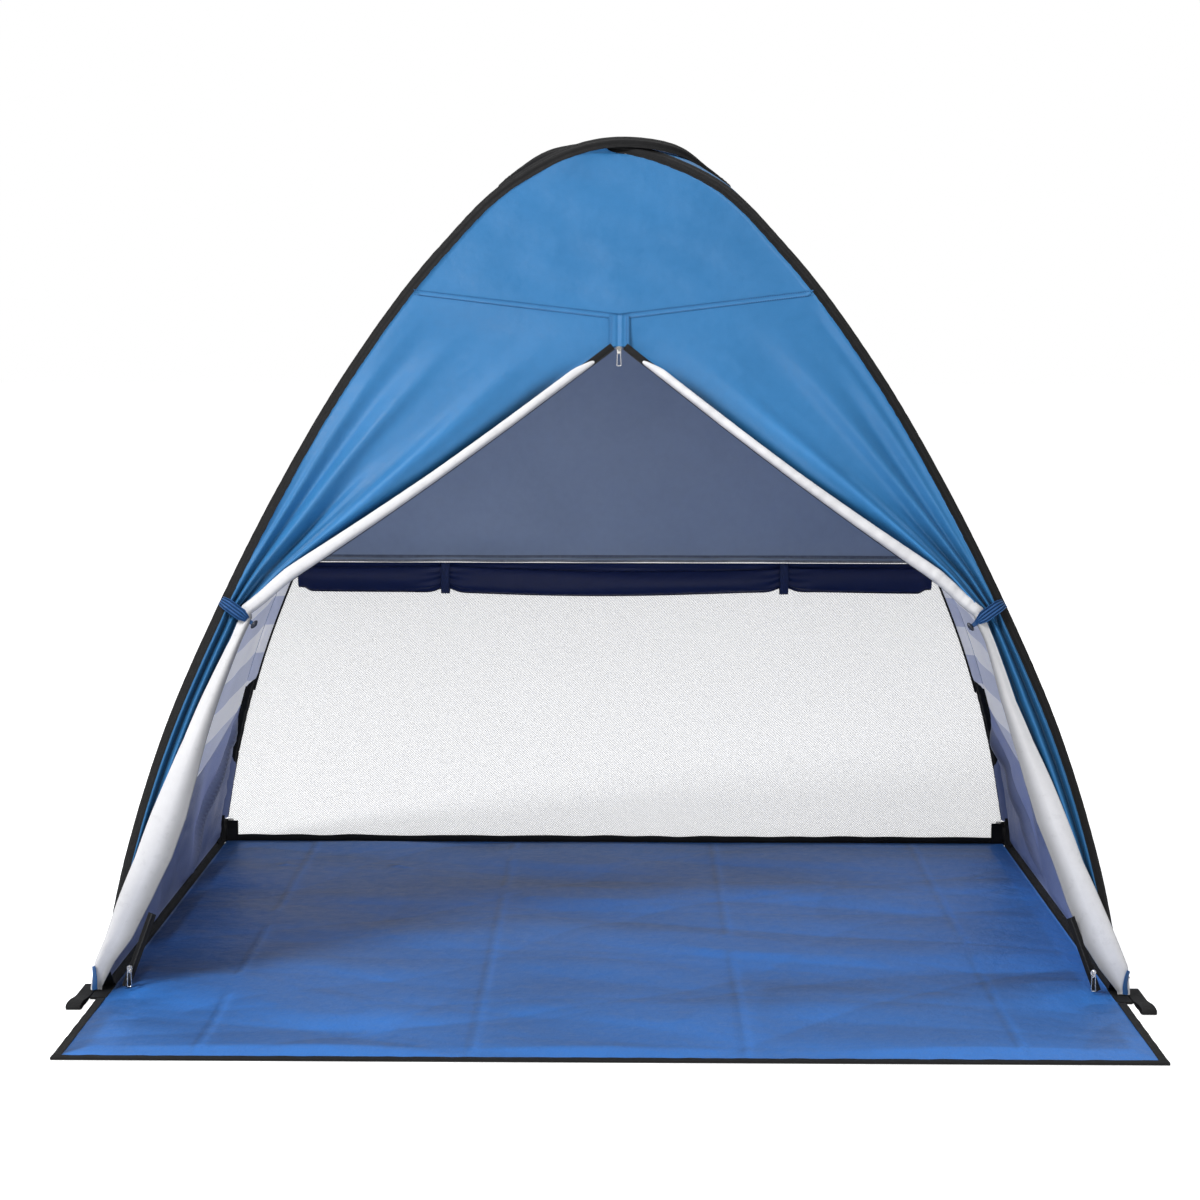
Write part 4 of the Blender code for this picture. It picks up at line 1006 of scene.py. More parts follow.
def fan_folds(u, v, seed):
    """Folds that run up from the tie and fade toward the seam: v is 0 at the seam and 1 at the tie.

    Given back with their depths is a painted shade that darkens the valleys and the pinched pleats; where it
    is below zero it is a painted highlight on the ridges."""
    grow = smoothstep(0.02, 0.55, v)
    pinch = smoothstep(0.72, 1.0, v)
    lean = 0.05 * np.sin(v * 2.4 + seed)
    valley = 0.965 - 0.120 * smoothstep(0.50, 0.80, v)
    low_part = smoothstep(0.45, 0.80, v)
    ridges = (
        0.0130 * bump(u, 0.76 + lean, 0.080)
        - 0.0190 * bump(u, valley, 0.055)
        + 0.0080 * bump(u, 0.950, 0.032) * low_part
        + 0.0040 * bump(u, 0.64 + lean, 0.030) * low_part
        - 0.0150 * bump(u, 0.47 + lean, 0.070) * low_part
        + 0.0110 * bump(u, 0.33, 0.060)
        - 0.0080 * bump(u, 0.19, 0.050)
        + 0.0040 * bump(u, 0.10, 0.030)
    )
    fine = 0.0012 * np.sin((u + lean) * math.tau * 7.0 + 4.0 * v) * smoothstep(0.35, 0.8, v)
    pleats = 0.0045 * np.sin(u * math.tau * 4.5 + 0.6)
    soft = 0.0030 * ripples(u, v, 0.55, seed) + 0.0014 * creases(u, 0.6 * v, 0.6, seed + 1)
    ends = np.clip(np.minimum(u, 1 - u) / 0.05, 0.0, 1.0)
    start = smoothstep(0.0, 0.10, v)
    depth = ((ridges * grow + fine + soft) * (1 - 0.55 * pinch) + pleats * pinch) * ends * start
    # Painted shade in the valleys and pinched pleats; the terms taken away are painted highlights on ridges.
    shade = (
        0.88 * bump(u, valley + 0.010, 0.070 - 0.030 * low_part) * smoothstep(0.12, 0.26, v)
        + 0.60 * bump(u, 0.47 + lean, 0.060) * smoothstep(0.60, 0.85, v)
        + 0.35 * bump(u, 0.19, 0.050) * smoothstep(0.60, 0.88, v)
        + 0.25 * pinch * (1 - np.sin(u * math.tau * 4.5 + 0.6))
        - 0.24 * bump(u, 0.78 + lean, 0.050) * smoothstep(0.2, 0.5, v)
        - 0.20 * bump(u, 0.955, 0.025) * low_part
        + 0.18 * bump(u, 0.64 + lean, 0.040) * smoothstep(0.45, 0.70, v)
    )
    return depth, np.clip(shade, -0.28, 0.90)


def door_fan(tent, name, band):
    """The spread part of a door half between the sleeve and its band, with its painted shade and highlight.
    """
    side = side_of[name]
    heights = np.linspace(header_seam_height, tie_height, 200)
    sleeve_side = spaced(tent.sleeve_edge(name, heights), fan_rows)
    free_side = spaced(band.path, fan_rows)
    u = np.linspace(0.0, 1.0, fan_columns + 1)
    v = np.linspace(0.0, 1.0, fan_rows)
    seam_x = tent.seam_ends[side][0] + (band.start_x - tent.seam_ends[side][0]) * u
    top = np.array([tent.face.point(x, tent.seam(x) - seam_lap) for x in seam_x])
    top[0], top[-1] = sleeve_side[0], free_side[0]
    bottom = sleeve_side[-1] + (free_side[-1] - sleeve_side[-1]) * u[:, None]
    depth, shade = fan_folds(u[None, :], v[:, None], door_seeds[name])
    return pushed(patch(top, bottom, sleeve_side, free_side), depth), shade, depth[-1]


def door_band(band):
    """The roll along the band, wound from its root outward and forward, with painted shade that darkens its
    inner side.
    """
    v = np.linspace(0.0, 1.0, fan_rows)
    root = spaced(band.path, fan_rows)
    width = np.interp(v, band.share, band.width)
    puff = 1 + 0.10 * ripples(v * 0.7, 0.0, 0.06, 21) + 0.12 * smoothstep(0.8, 1.0, v) * np.sin(v * 300.0)
    first = band.zip_share
    places = (0.0, first, first + 0.05, first + 0.12, 0.9, 1.0)
    thick = np.interp(v, places, (0.0012, 0.0016, 0.004, 0.011, 0.013, 0.015)) * puff
    behind = 0.0020 * (1 - smoothstep(first, first + 0.04, v))
    down = unit(-read_at(band.up, band.share, v))
    ahead = unit(read_at(band.ahead, band.share, v))
    rows, shades = [], []
    for k in range(fan_rows):
        section = spiral(width[k], thick[k], roll_turns, roll_steps)
        # Painted shade, darker toward the roll's inner side.
        shades.append(0.34 * smoothstep(0.15, 1.0, section[1:, 0] / width[k] * 2))
        wave = 0.0007 * np.sin(v[k] * 190.0 + 3.0 * np.sin(v[k] * 23.0))
        wave = wave * smoothstep(0.25, 0.6, section[:, 1] / thick[k])
        out = (section[:, 1] + wave - behind[k])[:, None]
        rows.append(root[k] + down[k] * section[:, 0, None] + ahead[k] * out)
    return np.array(rows), np.array(shades)


def hanging_band(side, heights):
    """How far the hanging band starts from the sleeve, how wide and how deep it is at the given heights."""
    offsets = np.interp(heights, band_heights, left_band_offsets if side < 0 else right_band_offsets)
    widths = np.interp(heights, band_heights, left_band_widths if side < 0 else right_band_widths)
    return offsets, widths, np.interp(heights, band_heights, band_depths)


def door_hanging(tent, name, last_fold):
    """The part that hangs from the tie to the foot: folds beside the sleeve and the band, with painted shade
    in the pleats, toward the band and on the band's inner side.
    """
    side = side_of[name]
    heights = np.linspace(tie_height, hem_height, hanging_rows + 1)[1:]
    edge = tent.sleeve_edge(name, heights)
    edge[:, 2] = heights
    offsets, widths, depths = hanging_band(side, heights)
    inward = inward_of(side)
    u = np.linspace(0.0, 1.0, fan_columns + 1)
    inside_edges = np.clip(np.minimum(u, 1 - u) / 0.08, 0.0, 1.0)
    rows, shades = [], []
    for k in range(hanging_rows):
        w = (k + 1) / hanging_rows
        sink = 0.002 - (tie_sink + 0.002) * (1 - smoothstep(0.0, 0.10, w))
        middle = edge[k] + inward * (offsets[k] + widths[k] / 2) + forward * sink
        start = edge[k] + inward * min(0.0, offsets[k] + 0.2 * widths[k])
        strip = rows_between(start[None], middle[None], fan_columns)[0]
        pleats = np.sin(u * math.tau * 2.5 + 0.8 + 1.5 * w)
        fold = 0.0060 * pleats * inside_edges
        fold = fold * (1 - 0.5 * smoothstep(0.7, 1.0, w)) * smoothstep(0.0, 0.03, w)
        fold = fold + last_fold * (1 - smoothstep(0.0, 0.05, w))
        # Painted shade in the pleats' valleys and toward the band.
        strip_shade = 0.12 + 0.33 * (1 - pleats) + 0.25 * smoothstep(0.75, 1.0, u)
        section = spiral(widths[k], depths[k], roll_turns, roll_steps)
        across = section[:, 0] / widths[k]
        # Painted shade, darker toward the band's inner side.
        ring_shade = 0.58 * smoothstep(-0.15, 0.9, across[1:] * 2)
        shades.append(np.concatenate([np.clip(strip_shade, 0.0, 0.85), ring_shade]))
        press = 1 + 0.10 * math.sin(w * 7.0 + side) * smoothstep(0.1, 0.3, w)
        wave = 0.0024 * np.sin(across * 5.0 + 4.0 * w) * smoothstep(0.5, 0.9, section[:, 1] / depths[k])
        ring = middle + inward * section[:, 0, None] + forward * (section[:, 1] * press + wave)[:, None]
        rows.append(np.vstack([strip + forward * fold[:, None], ring[1:]]))
    return np.array(rows), np.array(shades)


def build_door(tent, name):
    """A door half as one sheet: its fan and band down to the tie, then the part that hangs to the foot."""
    band = Band(tent, side_of[name])
    fan, fan_shade, last_fold = door_fan(tent, name, band)
    roll, roll_shade = door_band(band)
    hanging, hanging_shade = door_hanging(tent, name, last_fold)
    rows = np.concatenate([np.concatenate([fan, roll[:, 1:]], axis=1), hanging])
    # Painted fold shade of the fan, roll and hanging part, on both faces of the sheet.
    shade = np.concatenate([np.concatenate([fan_shade, roll_shade], axis=1), hanging_shade])
    body = add_sheet(f"{name}_door_cloth", rows, "blue", "silver", shade=(shade, shade))
    closed = closed_door(tent, side_of[name])
    settle(body, closed, [f"{name}_door"])


foot_turn_top = 0.046


def build_foot_turn(tent, name):
    """The blue outside of the door that shows where its hem is turned over at the foot."""
    side = side_of[name]
    heights = np.linspace(foot_turn_top, hem_height + 0.001, 24)
    offsets, widths, depths = hanging_band(side, heights)
    across = -0.98 + 0.88 * np.linspace(0.0, 1.0, len(heights))
    reach = offsets + widths / 2 * (1 + across)
    ahead = depths / 2 * (1 + np.sqrt(1 - np.abs(across) ** 2.5)) * 1.10 + 0.0050
    path = tent.sleeve_edge(name, heights) + reach[:, None] * inward_of(side) + ahead[:, None] * forward
    path[:, 2] = heights
    facing = np.stack([-side * across, 0 * across - 1.0, 0 * across], axis=-1)
    add_tape(f"{name}_foot_turn", path, facing, foot_turn_tape, "strap")


def closed_door(tent, side):
    """The door half as it is cut: from the sleeve to the zip and from the header seam to the ground."""
    rows = []
    for share in np.linspace(0.0, 1.0, 60):
        outer = tent.face.end(side, hem_height + (header_seam_height - hem_height) * share)
        inner = tent.face.point(zip_x, hem_height + (tent.seam(zip_x) - hem_height) * share)
        rows.append(rows_between(outer[None], inner[None], 40)[0])
    return np.array(rows)


# Zips and their pulls


def build_zip_tape(tent, name):
    """The zip's tape along the turned-back edge: in front near the slider, then turned under the band."""
    lower = door_edge(tent, side_of[name])
    ahead, up = edge_directions(lower)
    under = smoothstep(0.055, 0.10, np.linspace(0.0, 1.0, len(lower))[:, None])
    path = lower + up * (0.0045 + 0.002 * under) + ahead * (0.0052 - 0.0105 * under)
    path, ahead, up = path[1:80], ahead[1:80], up[1:80]
    add_tape(f"{name}_door_zip_tape", path, ahead, door_zip_tape, nodes=[f"{name}_zip_tape"])
    add_stitches(f"{name}_door_zip_teeth", path - up * 0.0058 + ahead * 0.0004, ahead, door_tooth, "teeth")


def build_foot_zip(name):
    """The zip tape at a door's foot, slanted down and outward, with its teeth."""
    node = f"{name}_foot_zip_tape"
    low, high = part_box(node)
    side = side_of[name]
    outer, inner = (low[0], high[0]) if side < 0 else (high[0], low[0])
    half = 0.007
    start = np.array([inner + side * half, low[1] + 0.0008, high[2]])
    end = np.array([outer - side * half, high[1] - 0.0012, low[2]])
    share = np.linspace(0.0, 1.0, 40)[:, None]
    path = start * (1 - share) + end * share
    path[:, 1] += 0.002 * np.sin(np.pi * share[:, 0])
    out = straight_line(path, (0.0, -1.0, 0.1)).out
    add_tape(f"{name}_foot_tape", path, (0.0, -1.0, 0.1), foot_zip_tape, nodes=[node])
    add_stitches(f"{name}_foot_teeth", path + out * 0.0006, out, foot_tooth, "teeth")


def build_placket(tent):
    """The small double-stitched flap over the closed end of the zip."""
    top, low = tent.seam(zip_x) + 0.002, zip_height - 0.001
    columns = np.linspace(-0.017, 0.017, 41)
    crease = 0.0014 * bump(columns, 0.004, 0.003) - 0.0012 * bump(columns, -0.002, 0.003)
    rows = []
    for height in np.linspace(top, low, 24):
        row = tent.face.point(zip_x + columns, np.full(len(columns), height))
        row[:, 1] -= 0.0040 + crease
        rows.append(row)
    rows = np.array(rows)
    body = add_sheet("placket", rows, "blue", "blue", doubled_thickness)
    settle(body, rows, ["zip_placket"])
    for k, place in enumerate((-0.0152, -0.0122, 0.0122, 0.0152)):
        path = tent.face.point(np.full(20, zip_x + place), np.linspace(top, low + 0.002, 20))
        path[:, 1] -= 0.0048
        add_stitches(f"placket_stitches_{k}", path, (0.0, -1.0, 0.2), placket_stitch, "thread")


pull_wire_radius = 0.0008
pull_rounding = 0.0015
pull_sides = 10


def rod_ring(name, corners, radius, finish):
    """A closed wire ring through given corners, with each corner rounded."""
    corners = np.asarray(corners, dtype=float)
    path = []
    for k, here in enumerate(corners):
        before, after = corners[k - 1], corners[(k + 1) % len(corners)]
        a, b = here + unit(before - here) * pull_rounding, here + unit(after - here) * pull_rounding
        for t in np.linspace(0.0, 1.0, 6):
            path.append((1 - t) ** 2 * a + 2 * t * (1 - t) * here + t * t * b)
    path = np.array(path)
    normal = unit(np.cross(corners[1] - corners[0], corners[2] - corners[1]))
    tangent = unit(np.roll(path, -1, axis=0) - np.roll(path, 1, axis=0))
    side = np.cross(tangent, normal)
    turns = np.linspace(0.0, math.tau, pull_sides, endpoint=False)
    rings = (
        path[:, None]
        + side[:, None] * (radius * np.cos(turns))[None, :, None]
        + normal[None, None] * (radius * np.sin(turns))[None, :, None]
    )
    index = np.arange(rings.shape[0] * pull_sides).reshape(-1, pull_sides)
    ahead, around = np.roll(index, -1, axis=0), np.roll(index, -1, axis=1)
    both = np.roll(ahead, -1, axis=1)
    faces = np.stack([index, around, both, ahead], axis=-1).reshape(-1, 4).tolist()
    return add_mesh(name, rings.reshape(-1, 3), faces, [finish])


def build_pull(name, node, body_name):
    """An open rectangular ring, hung from the slider's bridge."""
    low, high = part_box(node)
    x, y = (low[0] + high[0]) / 2, (low[1] + high[1]) / 2
    top, bottom = high[2] - 0.0010, low[2] + 0.0012
    wide = (high[0] - low[0]) / 2 - pull_wire_radius
    narrow = wide * 0.75
    corners = [(x - narrow, y, top), (x + narrow, y, top), (x + wide, y, bottom), (x - wide, y, bottom)]
    keep(rod_ring(name, corners, pull_wire_radius, "steel"), [node], body_name)


# Tie straps and toggles


strap_slant = math.radians(36.0)
strap_round = (
    (-0.024, 0.004),
    (-0.015, 0.0102),
    (-0.002, 0.0122),
    (0.014, 0.0122),
    (0.023, 0.0090),
    (0.029, 0.0032),
)


def strap_path(reach):
    """The strap seen from its edge: round the gathered door, along its neck, round the bead and back."""
    outer = [*strap_round, (reach - 0.004, 0.0016), (reach, 0.0030)]
    inner = [(a, -c) for a, c in reversed(outer)]
    return [(-0.030, -0.004), *outer, (reach + 0.0034, 0.0), *inner]


def build_tie(tent, name):
    """The pleated strap round the gathered door and its narrow neck, and the toggle that closes it."""
    side = side_of[name]
    low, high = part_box(f"{name}_tie_toggle")
    bead = np.array([(low[axis] + high[axis]) / 2 for axis in range(3)])
    start = tent.face.end(side, tie_height)
    lean = unit(tent.face.point(start[0], tie_height + tie_width) - tent.face.point(start[0], tie_height))
    out = np.cross((1.0, 0.0, 0.0), lean)
    along = unit(inward_of(side) * math.cos(strap_slant) - lean * math.sin(strap_slant))
    across = np.cross(along, out)
    middle = start + inward_of(side) * tie_width / 2
    build_strap(name, middle, (along, across, out), float(np.dot(bead - middle, along)))
    build_toggle(name, bead, (along, across, out))


def build_strap(name, middle, directions, reach):
    """The strap's cloth: pleated round the door, flat and narrow along its neck, with painted shade in the
    pleats' valleys.
    """
    along, across, out = directions
    points = smooth_curve([middle + along * a + out * c for a, c in strap_path(reach)])
    points = spaced(points, 220)
    place = (points - middle) @ along
    width = np.interp(place, (-0.030, -0.016, 0.014, 0.029, reach), (0.015, 0.020, 0.020, 0.007, 0.0055))
    tangent = unit(np.gradient(points, axis=0))
    columns = np.linspace(-0.5, 0.5, 41)
    normal = unit(np.cross(np.broadcast_to(across, tangent.shape), tangent))
    pleat = np.cos(columns * math.tau * 4.0)[None, :] * smoothstep(0.006, 0.014, width)[:, None]
    flutter = 0.0012 * np.sin(place * 240.0)[:, None] * columns[None, :]
    rows = (
        points[:, None]
        + across[None, None] * (columns[None, :] * width[:, None])[..., None]
        + normal[:, None] * (0.0013 * pleat + flutter)[..., None]
    )
    # Painted shade in the pleats' valleys.
    shade = 0.30 - 0.30 * pleat
    strap = add_sheet(f"{name}_strap", rows, "strap", "strap", doubled_thickness, (shade, shade), middle)
    settle(strap, rows, [f"{name}_tie_strap"])


def build_toggle(name, bead, directions):
    """A bead with blunt ends and a slight waist, across the strap's end."""
    along, across, out = directions
    ends = np.linspace(-0.5, 0.5, 25)
    blunt = np.sqrt(np.clip(1 - (2 * ends) ** 6, 0.0, 1.0))
    radius = np.maximum(0.0042 * blunt * (0.80 + 0.20 * np.cos(ends * math.tau)), 0.0008)
    points = bead + across * (ends * 0.016)[:, None]
    line = Line(points, np.broadcast_to(along, points.shape), np.broadcast_to(out, points.shape))
    turns = np.linspace(0.0, math.tau, 24, endpoint=False)
    sections = radius[:, None, None] * np.stack([np.cos(turns), np.sin(turns)], axis=-1)[None]
    toggle = add_swept(f"{name}_toggle_bead", line, sections, "toggle")
    keep(toggle, [f"{name}_tie_toggle"], f"{name}_toggle")


# Side walls


least_run_share = 0.55
crown_gap = 0.052
# How far across the rear sleeve and below it the inner strip of a wall runs, point by point
facing_section = (
    (-0.0135, 0.0030),
    (-0.010, 0.0052),
    (-0.005, 0.0062),
    (0.0, 0.0064),
    (0.004, 0.0062),
    (0.0075, 0.0050),
)
wall_seeds = {"left": 41, "right": 47}


def build_side(tent, name):
    """The two panels of a side wall, from the floor's edge up to the other loop's sleeve."""
    own, cross = tent.own(name), tent.crossing
    start = own.edge(-edge_reach)[: cross + 1]
    end = mirrored(start, 1, middle_y)
    seam = tent.station(side_seam_height)
    lap = whole_line(tent.other(name), cross)
    apart = np.linalg.norm(lap.point - own.point[cross], axis=1)
    skip = int(np.argmax(apart > crown_gap))
    top = lap.part(slice(skip, len(lap.point) - skip)).edge(edge_reach)
    corner = cross - int(math.ceil(crown_gap / fine_step))
    top = spaced(np.vstack([start[corner], top, end[corner]]), 90)
    share = np.linspace(0.0, 1.0, 90)[:, None]
    floor_line = start[0] * (1 - share) + end[0] * share
    floor_line[1:-1, 0] = side_of[name] * hoop_half_span
    floor_line[1:-1, 2] = 0.0105
    line = start[seam] * (1 - share) + end[seam] * share
    line[:, 2] -= side_seam_sag * 4 * share[:, 0] * (1 - share[:, 0])
    line[:, 0] = np.interp(line[:, 2], start[:, 2], start[:, 0])
    below, above = slice(0, seam + 1), slice(seam, corner + 1)
    lower = patch(floor_line, line, spaced(start[below], 46), spaced(end[below], 46))
    upper = patch(line, top, spaced(start[above], 120), spaced(end[above], 120), wall_fade_powers)
    build_lower_side(own, name, lower, corner)
    build_upper_side(own, name, held_back(upper), corner)


def build_lower_side(own, name, rows, corner):
    """The plain lower panel, with one slanting fold and crushed cloth toward the back, and painted shade in
    the fold with a painted highlight above it on the inside.
    """
    seed = wall_seeds[name]
    y, z = rows[..., 1], rows[..., 2]
    fold_z = 0.24 + (y - 0.703) * (0.22 / 0.37)
    rearward = smoothstep(0.30, 0.42, y)
    fold = -0.010 * bump(z - fold_z, 0.0, 0.014) + 0.006 * bump(z - fold_z, 0.022, 0.018)
    soft = 0.0045 * ripples(y, z, 0.20, seed) + 0.0028 * creases(y, z, 0.17, seed + 1)
    crushed = 0.0035 * creases(y, z, 0.05, seed + 2) * smoothstep(0.60, 0.76, y)
    shaped = pushed(rows, (fold * rearward + soft + crushed) * edge_fade(rows, 4.0))
    cover = 1 - smoothstep(0.165, 0.200, shaped[:, -1, 2])
    shaped = np.concatenate([shaped, rear_facing(own, shaped, corner, cover)], axis=1)
    # Painted shade in the fold's valley and a painted highlight above it, on the inside face only.
    shade = 0.55 * bump(z - fold_z, 0.004, 0.007) * rearward
    shade = shade - 0.75 * smoothstep(0.020, 0.035, z - fold_z) * rearward
    shade = np.pad(shade, ((0, 0), (0, shaped.shape[1] - shade.shape[1])), mode="edge")
    body = add_sheet(f"{name}_lower_side", shaped, "blue", "painted_shade_silver_side", shade=(np.zeros(shade.shape), shade))
    settle(body, rows, [f"{name}_side_lower_panel"])


def build_upper_side(own, name, rows, corner):
    """The striped upper panel and the two rows of stitches along its lower seam."""
    seed = wall_seeds[name]
    y, z = rows[..., 1], rows[..., 2]
    soft = 0.0016 * ripples(y, z, 0.30, seed + 3) + 0.0008 * creases(y, z, 0.30, seed + 4)
    shaped = pushed(rows, soft * edge_fade(rows, 4.0))
    build_net_edge(own, name, corner)
    last = shaped[:, -1, 2]
    cover = smoothstep(0.335, 0.360, last) * (1 - smoothstep(1.10, 1.20, last))
    shaped = np.concatenate([shaped, rear_facing(own, shaped, corner, cover)], axis=1)
    body = add_sheet(f"{name}_upper_side", shaped, "blue", "stripes")
    settle(body, rows, [f"{name}_side_upper_panel"])
    rise = rows[2] - rows[0]
    out = np.array([side_of[name], 0.0, 0.25])
    for k, offset in enumerate((0.005, 0.010)):
        path = rows[0] + rise * (offset / np.linalg.norm(rise, axis=1))[:, None] + out * 0.0008
        add_stitches(f"{name}_side_stitches_{k}", path, out, side_stitch, "thread")


def held_back(rows):
    """The wall with no part of it in front of its edge at the front sleeve, nor behind the rear one."""
    share = np.linspace(0.0, 1.0, rows.shape[1])[None, :]
    first, last = rows[:, :1, 1], rows[:, -1:, 1]
    least = first + (last - first) * share * least_run_share
    most = last - (last - first) * (1 - share) * least_run_share
    held = rows.copy()
    held[..., 1] = np.clip(rows[..., 1], least, most)
    return held


def build_net_edge(own, name, corner):
    """The thin tape that shows between a side wall's facing and the net."""
    rear = own.turned(1, middle_y).part(slice(0, corner + 1))
    line = rear.part((rear.point[:, 2] > 0.33) & (rear.point[:, 2] < 1.10))
    inner = Line(line.edge(0.0092) - line.out * 0.0062, line.across, -line.out)
    keep(add_swept(f"{name}_net_edge", inner, rounded_strip(*net_edge_tape), "black"))


def rear_facing(own, rows, corner, cover):
    """The strip of a side wall that runs on inside the rear sleeve to the net, where the cover is 1."""
    rear = own.turned(1, middle_y).part(slice(0, corner + 1))
    index = np.arange(len(rear.point))
    places = np.interp(rows[:, -1, 2], rear.point[:, 2], index)
    point, across, out = (read_at(line, index, places) for line in (rear.point, rear.across, rear.out))
    cover = cover[:, None]
    strips = []
    for reach, depth in facing_section:
        goal = point + across * reach - out * depth
        strips.append(rows[:, -1] * (1 - cover) + goal * cover)
    apart = np.linspace(0.0, 0.0004, len(facing_section))
    return np.stack(strips, axis=1) + apart[None, :, None] * out[:, None]


def edge_fade(rows, reach):
    """One inside a grid and zero along its four edges."""
    down, along = (np.minimum(np.arange(count), np.arange(count)[::-1]) for count in rows.shape[:2])
    return np.clip(np.minimum(down[:, None], along[None, :]) / reach, 0.0, 1.0)


# Rear wall


def build_rear(tent):
    """The rear wall: cloth above the piping, net below it, and the seam between them."""
    first = tent.station(rear_seam_height)
    left, right = (mirrored(line.edge(edge_reach), 1, middle_y) for line in (tent.left, tent.right))
    above = slice(first, tent.meeting(sleeve_width))
    build_rear_upper(rows_between(left[above], right[above], 90))
    net = rows_between(left[: first + 1], right[: first + 1], 120)
    hem = net[:1].copy()
    hem[..., 2] = 0.010
    net = np.concatenate([hem, net])
    build_rear_net(net)
    build_rear_hem(net[0])
    build_rear_seam()


def build_rear_upper(rows):
    x, z = rows[..., 0], rows[..., 2]
    depth = 0.0030 * ripples(x, z, 0.30, 51) + 0.0016 * creases(x, z, 0.35, 52)
    depth = depth * smoothstep(0.0, 0.06, z - rear_seam_height)
    shaped = pushed(rows, depth * edge_fade(rows, 4.0))
    # The inside is the silver coating drawn in painted shade.
    body = add_sheet("rear_upper_cloth", shaped, "blue", "painted_shade_silver_rear")
    settle(body, rows, ["rear_upper_panel"])


def build_rear_net(rows):
    x, z = rows[..., 0], rows[..., 2]
    depth = 0.0040 * ripples(x, z, 0.40, 55) + 0.0015 * creases(x, z, 0.40, 56)
    shaped = pushed(rows, depth * edge_fade(rows, 4.0))
    body = add_sheet("rear_net", shaped, "net", "net", mesh_thickness)
    settle(body, rows, ["rear_window_mesh"])


def build_rear_seam():
    """The piping across the rear wall and the stitched tape above it."""
    low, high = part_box("rear_piping")
    x = np.linspace(low[0], high[0], 180)
    y, z = (low[1] + high[1]) / 2, (low[2] + high[2]) / 2
    wave = 0.0007 * ripples(x, 0.0, 0.22, 61)
    path = np.stack([x, np.full(len(x), y), z + wave], axis=-1)
    turns = np.linspace(0.0, math.tau, 12, endpoint=False)
    round_cord = np.stack([np.cos(turns), np.sin(turns)], axis=-1) * 0.0024
    body = add_swept("seam_piping", straight_line(path, forward), round_cord, "piping")
    keep(body, ["rear_piping"])
    band_path = path + np.array([0.0, -0.0005, 0.0125])
    add_tape("seam_band", band_path, forward, seam_tape, "seam_tape")
    for k, offset in enumerate((0.0075, 0.0175)):
        stitch_path = path + np.array([0.0, -0.0012, offset])
        name = f"seam_band_stitches_{k}"
        add_stitches(name, stitch_path, forward, seam_band_stitch, "pale_thread")


def build_rear_hem(foot):
    """The tape along the net's lower edge, and the corner patches that the rear peg loops are sewn to."""
    x = np.linspace(foot[0, 0] + 0.004, foot[-1, 0] - 0.004, 220)
    wave = 0.0009 * ripples(x, 0.0, 0.11, 63)
    path = np.stack([x, np.full(len(x), foot[0, 1] - 0.0016), 0.0100 + wave], axis=-1)
    add_tape("rear_hem_tape", path, forward, seam_tape)
    for name, side in side_of.items():
        centre = side * (abs(foot[0, 0]) - 0.009)
        rows = flat_rows(centre - 0.012, centre + 0.012, 0.004, 0.046, foot[0, 1] - 0.0030, 0.002)
        rows = rows[..., [0, 2, 1]]
        rows[..., 1] -= 0.0008 * np.sin(rows[..., 2] * 150.0)
        body = add_sheet(f"{name}_corner_patch", rows, "black", "black", doubled_thickness)
        cut_of(rows)[0]
        keep(body)


flap_overrun = 0.009


def build_window_flap():
    """The window flap, rolled up and pinched by two ties."""
    low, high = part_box("window_flap_roll")
    ties = {name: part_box(f"{name}_flap_tie") for name in side_of}
    tie_x = [(a[0] + b[0]) / 2 for a, b in ties.values()]
    y = (low[1] + high[1]) / 2
    deep, tall = (high[1] - low[1]) / 2, 0.027
    x = np.linspace(low[0] - flap_overrun, high[0] + flap_overrun, 320)
    sag = (high[2] - low[2]) - 2 * tall
    between = np.clip(np.abs(x) / abs(tie_x[0]), 0.0, 1.0)
    pinch = 1 - 0.20 * sum(bump(x, place, 0.022) for place in tie_x)
    size = pinch * (1 - 0.15 * smoothstep(0.97, 1.0, np.abs(x) / high[0]))
    middle_z = high[2] - tall * size - sag * (1 - between**2)
    build_roll(x, y, middle_z, (deep * 0.90, tall * 0.93), size, tie_x)
    build_flap_neck(x, y, middle_z, deep, high[2])
    for name, (low, high) in ties.items():
        build_flap_strap(name, low, high)


def build_roll(x, y, middle_z, radii, size, tie_x):
    """The wound cloth: long folds run along it, and pleats gather at the ties."""
    turns = np.linspace(-math.pi / 2, -math.pi / 2 + math.tau * 2.3, 150)
    radius = 1 - 0.09 * (turns + math.pi / 2) / math.tau
    rows = []
    for k, place in enumerate(x):
        near_tie = sum(bump(place, tie, 0.045) for tie in tie_x)
        pleat = 0.0032 * np.sin(turns * 7.0 + 1.2 * math.sin(place * 17.0)) * near_tie
        long_fold = 0.0022 * np.sin(turns * 2.0 + place * 6.0) + 0.0010 * np.sin(turns * 3.0 - place * 11.0)
        relief = (pleat + long_fold) * radius * 0.7
        a, b = (reach * radius * size[k] + relief for reach in radii)
        ys, zs = y + a * np.cos(turns), middle_z[k] + b * np.sin(turns)
        rows.append(np.stack([np.full(len(turns), place), ys, zs], axis=-1))
    rows = np.array(rows)
    core = (0.0, y, float(middle_z.mean()))
    body = add_sheet("rolled_flap", rows, "navy", "navy", flap_thickness, away_from=core)
    settle(body, rows, ["window_flap_roll"], "window_roll")


